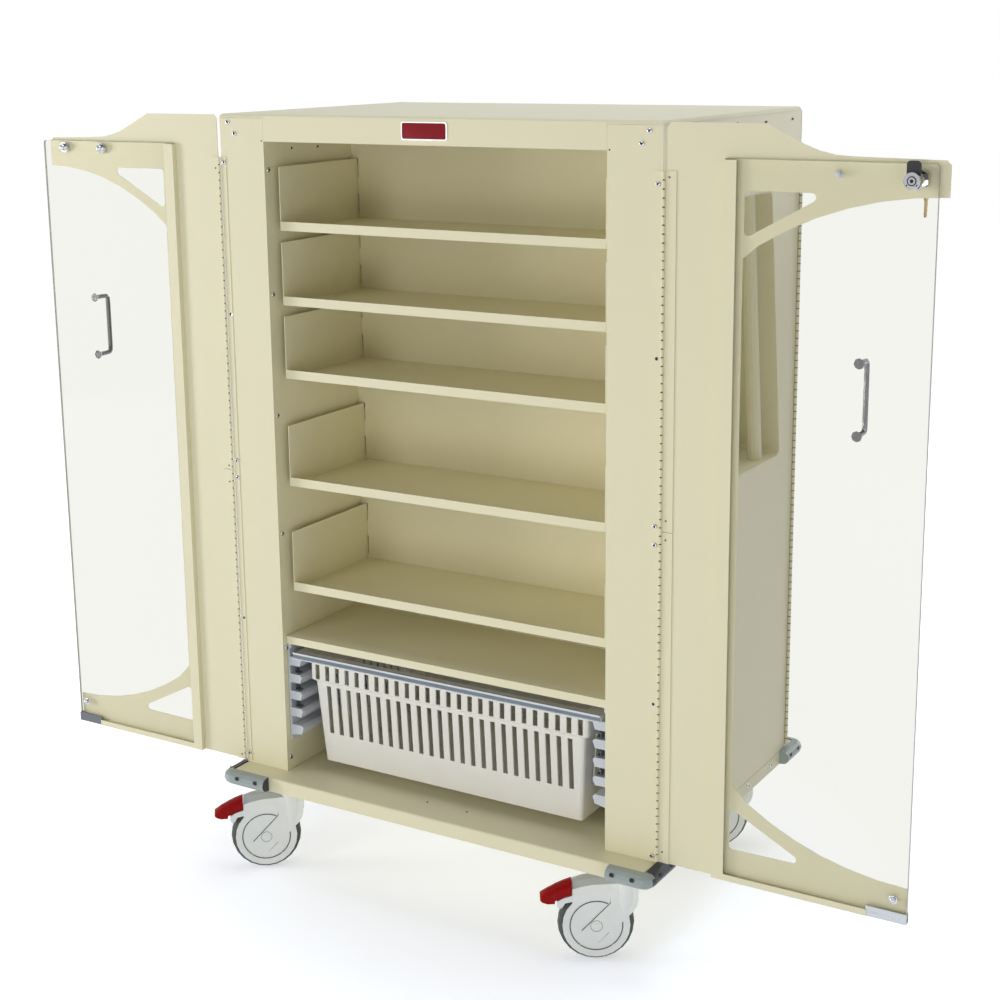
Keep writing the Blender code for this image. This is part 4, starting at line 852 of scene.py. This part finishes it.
def caster_axis(name):
    """The wheel's centre and rolling direction, from the record's own joint."""
    roll = next(j for j in frame["record"]["behaviour"]["joints"] if j["name"] == f"{name}_roll")
    axis = Vector(roll["axis"])
    return Vector(roll["pos_m"]), Vector((-axis.y, axis.x, 0)), axis


def line_along(bm, path, width):
    """A thin round bead along a path of points."""
    rings = []
    for i, point in enumerate(path):
        run = (path[min(i + 1, len(path) - 1)] - path[max(i - 1, 0)]).normalized()
        side, up, _ = axes_for(run)
        rings.append(circle(point, side, up, width, 6))
    rings_of(bm, rings)


def caster_lines(name):
    """The shadow lines of the moulding on both faces of a caster."""
    centre, along, across = caster_axis(name)

    def bend(middle, reach, turns):
        return [middle + (along * math.cos(t) + UP * math.sin(t)) * reach for t in turns]

    def edge(middle, places):
        return [middle + along * u + UP * z for u, z in places]

    dark, faint = bmesh.new(), bmesh.new()
    for sign in (-1, 1):
        cover, arm = centre + across * (sign * COVER_FACE), centre + across * (sign * ARM_FACE)
        line_along(dark, bend(cover, COVER_LINE, arc(*COVER_ARC, 48)), COVER_BEAD)
        line_along(dark, edge(cover, ARM_UPPER_EDGE), UPPER_BEAD)
        line_along(faint, edge(cover, ARM_LOWER_EDGE), LOWER_BEAD)
        line_along(faint, bend(arm, HUB_LINE, arc(0, 360, 24)), HUB_BEAD)
        line_along(faint, bend(cover, ARM_END, arc(*ARM_END_ARC, 12)), END_BEAD)
    finish_piece(f"{name}_dark_lines", dark, ("groove_and_gap_shade",), f"{name}_fork")
    finish_piece(f"{name}_faint_lines", faint, ("faint",), f"{name}_fork")


for corner in ("left_front", "right_front", "left_rear", "right_rear"):
    caster_lines(f"{corner}_caster")

# Floor, light and white surroundings

GLOSSY_SHARE = 0.84
FLOOR_HALF, FLOOR_DROP = 20, 0.0005
# The glow is weaker near the cart than far off, which paints a soft shade on the floor round it.
GLOW_NEAR, GLOW_FAR, FLOOR_BOUNCE = 0.46, 0.85, 0.28
GLOW_START, GLOW_END = 0.25, 1.1
EVEN_START, EVEN_END = 0.3, 0.7
SKY_SEEN, SKY_LIGHT = 1.0, 0.20
FRONT_DARK, DARK_START, DARK_END = 0.22, -0.9, -0.2


def white_to_camera(tree, strength, low, high):
    """High for the camera and through clear pieces, a little less in reflections, and low as a light."""
    path = tree.nodes.new("ShaderNodeLightPath")
    direct = add_math(tree, "MAXIMUM", path.outputs["Is Camera Ray"], path.outputs["Is Transmission Ray"])
    glossy = add_math(tree, "MULTIPLY", path.outputs["Is Glossy Ray"], GLOSSY_SHARE)
    level = tree.nodes.new("ShaderNodeMapRange")
    level.inputs["To Min"].default_value = low
    level.inputs["To Max"].default_value = high
    tree.links.new(add_math(tree, "MAXIMUM", direct, glossy), level.inputs["Value"])
    tree.links.new(level.outputs["Result"], strength)
    return level


def floor_look():
    """White, with a glow that grows away from the cart, so that the floor meets the white surroundings unseen. The
    weaker glow near the cart makes the floor there darker, a soft painted shade along with the lamps' real shadows.

    Through a clear piece it is an even white, so that no lamp's pool of light shows in a pane.
    """
    look = Look("floor_white", srgb(226, 231, 243), 0.9, specular=0.0)
    look.tint(look.noise(3, 2), srgb(223, 228, 241), 0.5)
    look.shader.inputs["Emission Color"].default_value = WHITE
    level = white_to_camera(look.tree, look.shader.inputs["Emission Strength"], FLOOR_BOUNCE, GLOW_FAR)
    reach = look.node("ShaderNodeVectorMath")
    reach.operation = "LENGTH"
    look.join(look.node("ShaderNodeTexCoord").outputs["Object"], reach.inputs[0])
    away = reach.outputs["Value"]
    look.join(look.spread(away, GLOW_START, GLOW_END, GLOW_NEAR, GLOW_FAR, smooth=True), level.inputs["To Max"])
    even = look.spread(away, EVEN_START, EVEN_END, 0.0, 1.0, smooth=True)
    seen_through = look.node("ShaderNodeLightPath").outputs["Is Transmission Ray"]
    white = look.node("ShaderNodeEmission", Strength=1.0)
    look.give_way(add_math(look.tree, "MULTIPLY", even, seen_through), white.outputs[0])
    return look.material


def make_floor():
    bm = bmesh.new()
    bmesh.ops.create_grid(bm, x_segments=1, y_segments=1, size=FLOOR_HALF)
    mesh = bpy.data.meshes.new("floor")
    bm.to_mesh(mesh)
    bm.free()
    mesh.materials.append(floor_look())
    floor = bpy.data.objects.new("floor", mesh)
    floor.location.z = -FLOOR_DROP
    bpy.context.scene.collection.objects.link(floor)


def make_world():
    """White all round, with the darker room in front of the cart shown in reflections only."""
    world = bpy.data.worlds.new("studio")
    bpy.context.scene.world = world
    world.use_nodes = True
    tree = world.node_tree
    background = tree.nodes["Background"]
    white_to_camera(tree, background.inputs["Strength"], SKY_LIGHT, SKY_SEEN)
    parts = tree.nodes.new("ShaderNodeSeparateXYZ")
    tree.links.new(tree.nodes.new("ShaderNodeTexCoord").outputs["Generated"], parts.inputs[0])
    dark_front = tree.nodes.new("ShaderNodeMapRange")
    dark_front.inputs["From Min"].default_value = DARK_START
    dark_front.inputs["From Max"].default_value = DARK_END
    dark_front.inputs["To Min"].default_value = FRONT_DARK
    tree.links.new(parts.outputs["Y"], dark_front.inputs["Value"])
    glossy = tree.nodes.new("ShaderNodeLightPath").outputs["Is Glossy Ray"]
    shown = add_colour_mix(tree, glossy, WHITE, dark_front.outputs["Result"])
    tree.links.new(shown, background.inputs["Color"])


# Each lamp's name, place, target, size, power and colour
LAMPS = (
    ("left", (-4.3, -2.6, 0.9), (0, 0, 0.6), 1.6, 76, (1.0, 1.0, 0.98)),
    ("high", (-1.2, -3.7, 2.1), (0, 0, 0.6), 1.2, 17, (1.0, 1.0, 0.985)),
    ("front", (0.9, -3.4, 0.5), (0, 0, 0.6), 1.4, 16, (1.0, 0.975, 0.93)),
    ("right", (3.6, -3.6, 1.0), (0, 0, 0.7), 1.6, 11, (1.0, 0.965, 0.91)),
    ("rear", (0.8, 3.8, 1.5), (0, 0, 0.7), 1.6, 34, (1.0, 0.995, 0.97)),
    ("top", (0.5, 0.5, 4.5), (0, 0, 0.7), 3.0, 60, (0.94, 1.0, 1.14)),
)


def make_lamp(name, place, target, size, power, colour):
    data = bpy.data.lights.new(name, "AREA")
    data.shape = "DISK"
    data.size = size
    data.energy = power
    data.color = colour
    lamp = bpy.data.objects.new(name, data)
    lamp.location = place
    lamp.rotation_euler = (Vector(target) - Vector(place)).to_track_quat("-Z", "Y").to_euler()
    bpy.context.scene.collection.objects.link(lamp)


make_floor()
make_world()
for lamp in LAMPS:
    make_lamp(*lamp)
bpy.context.scene.view_settings.view_transform = "Standard"
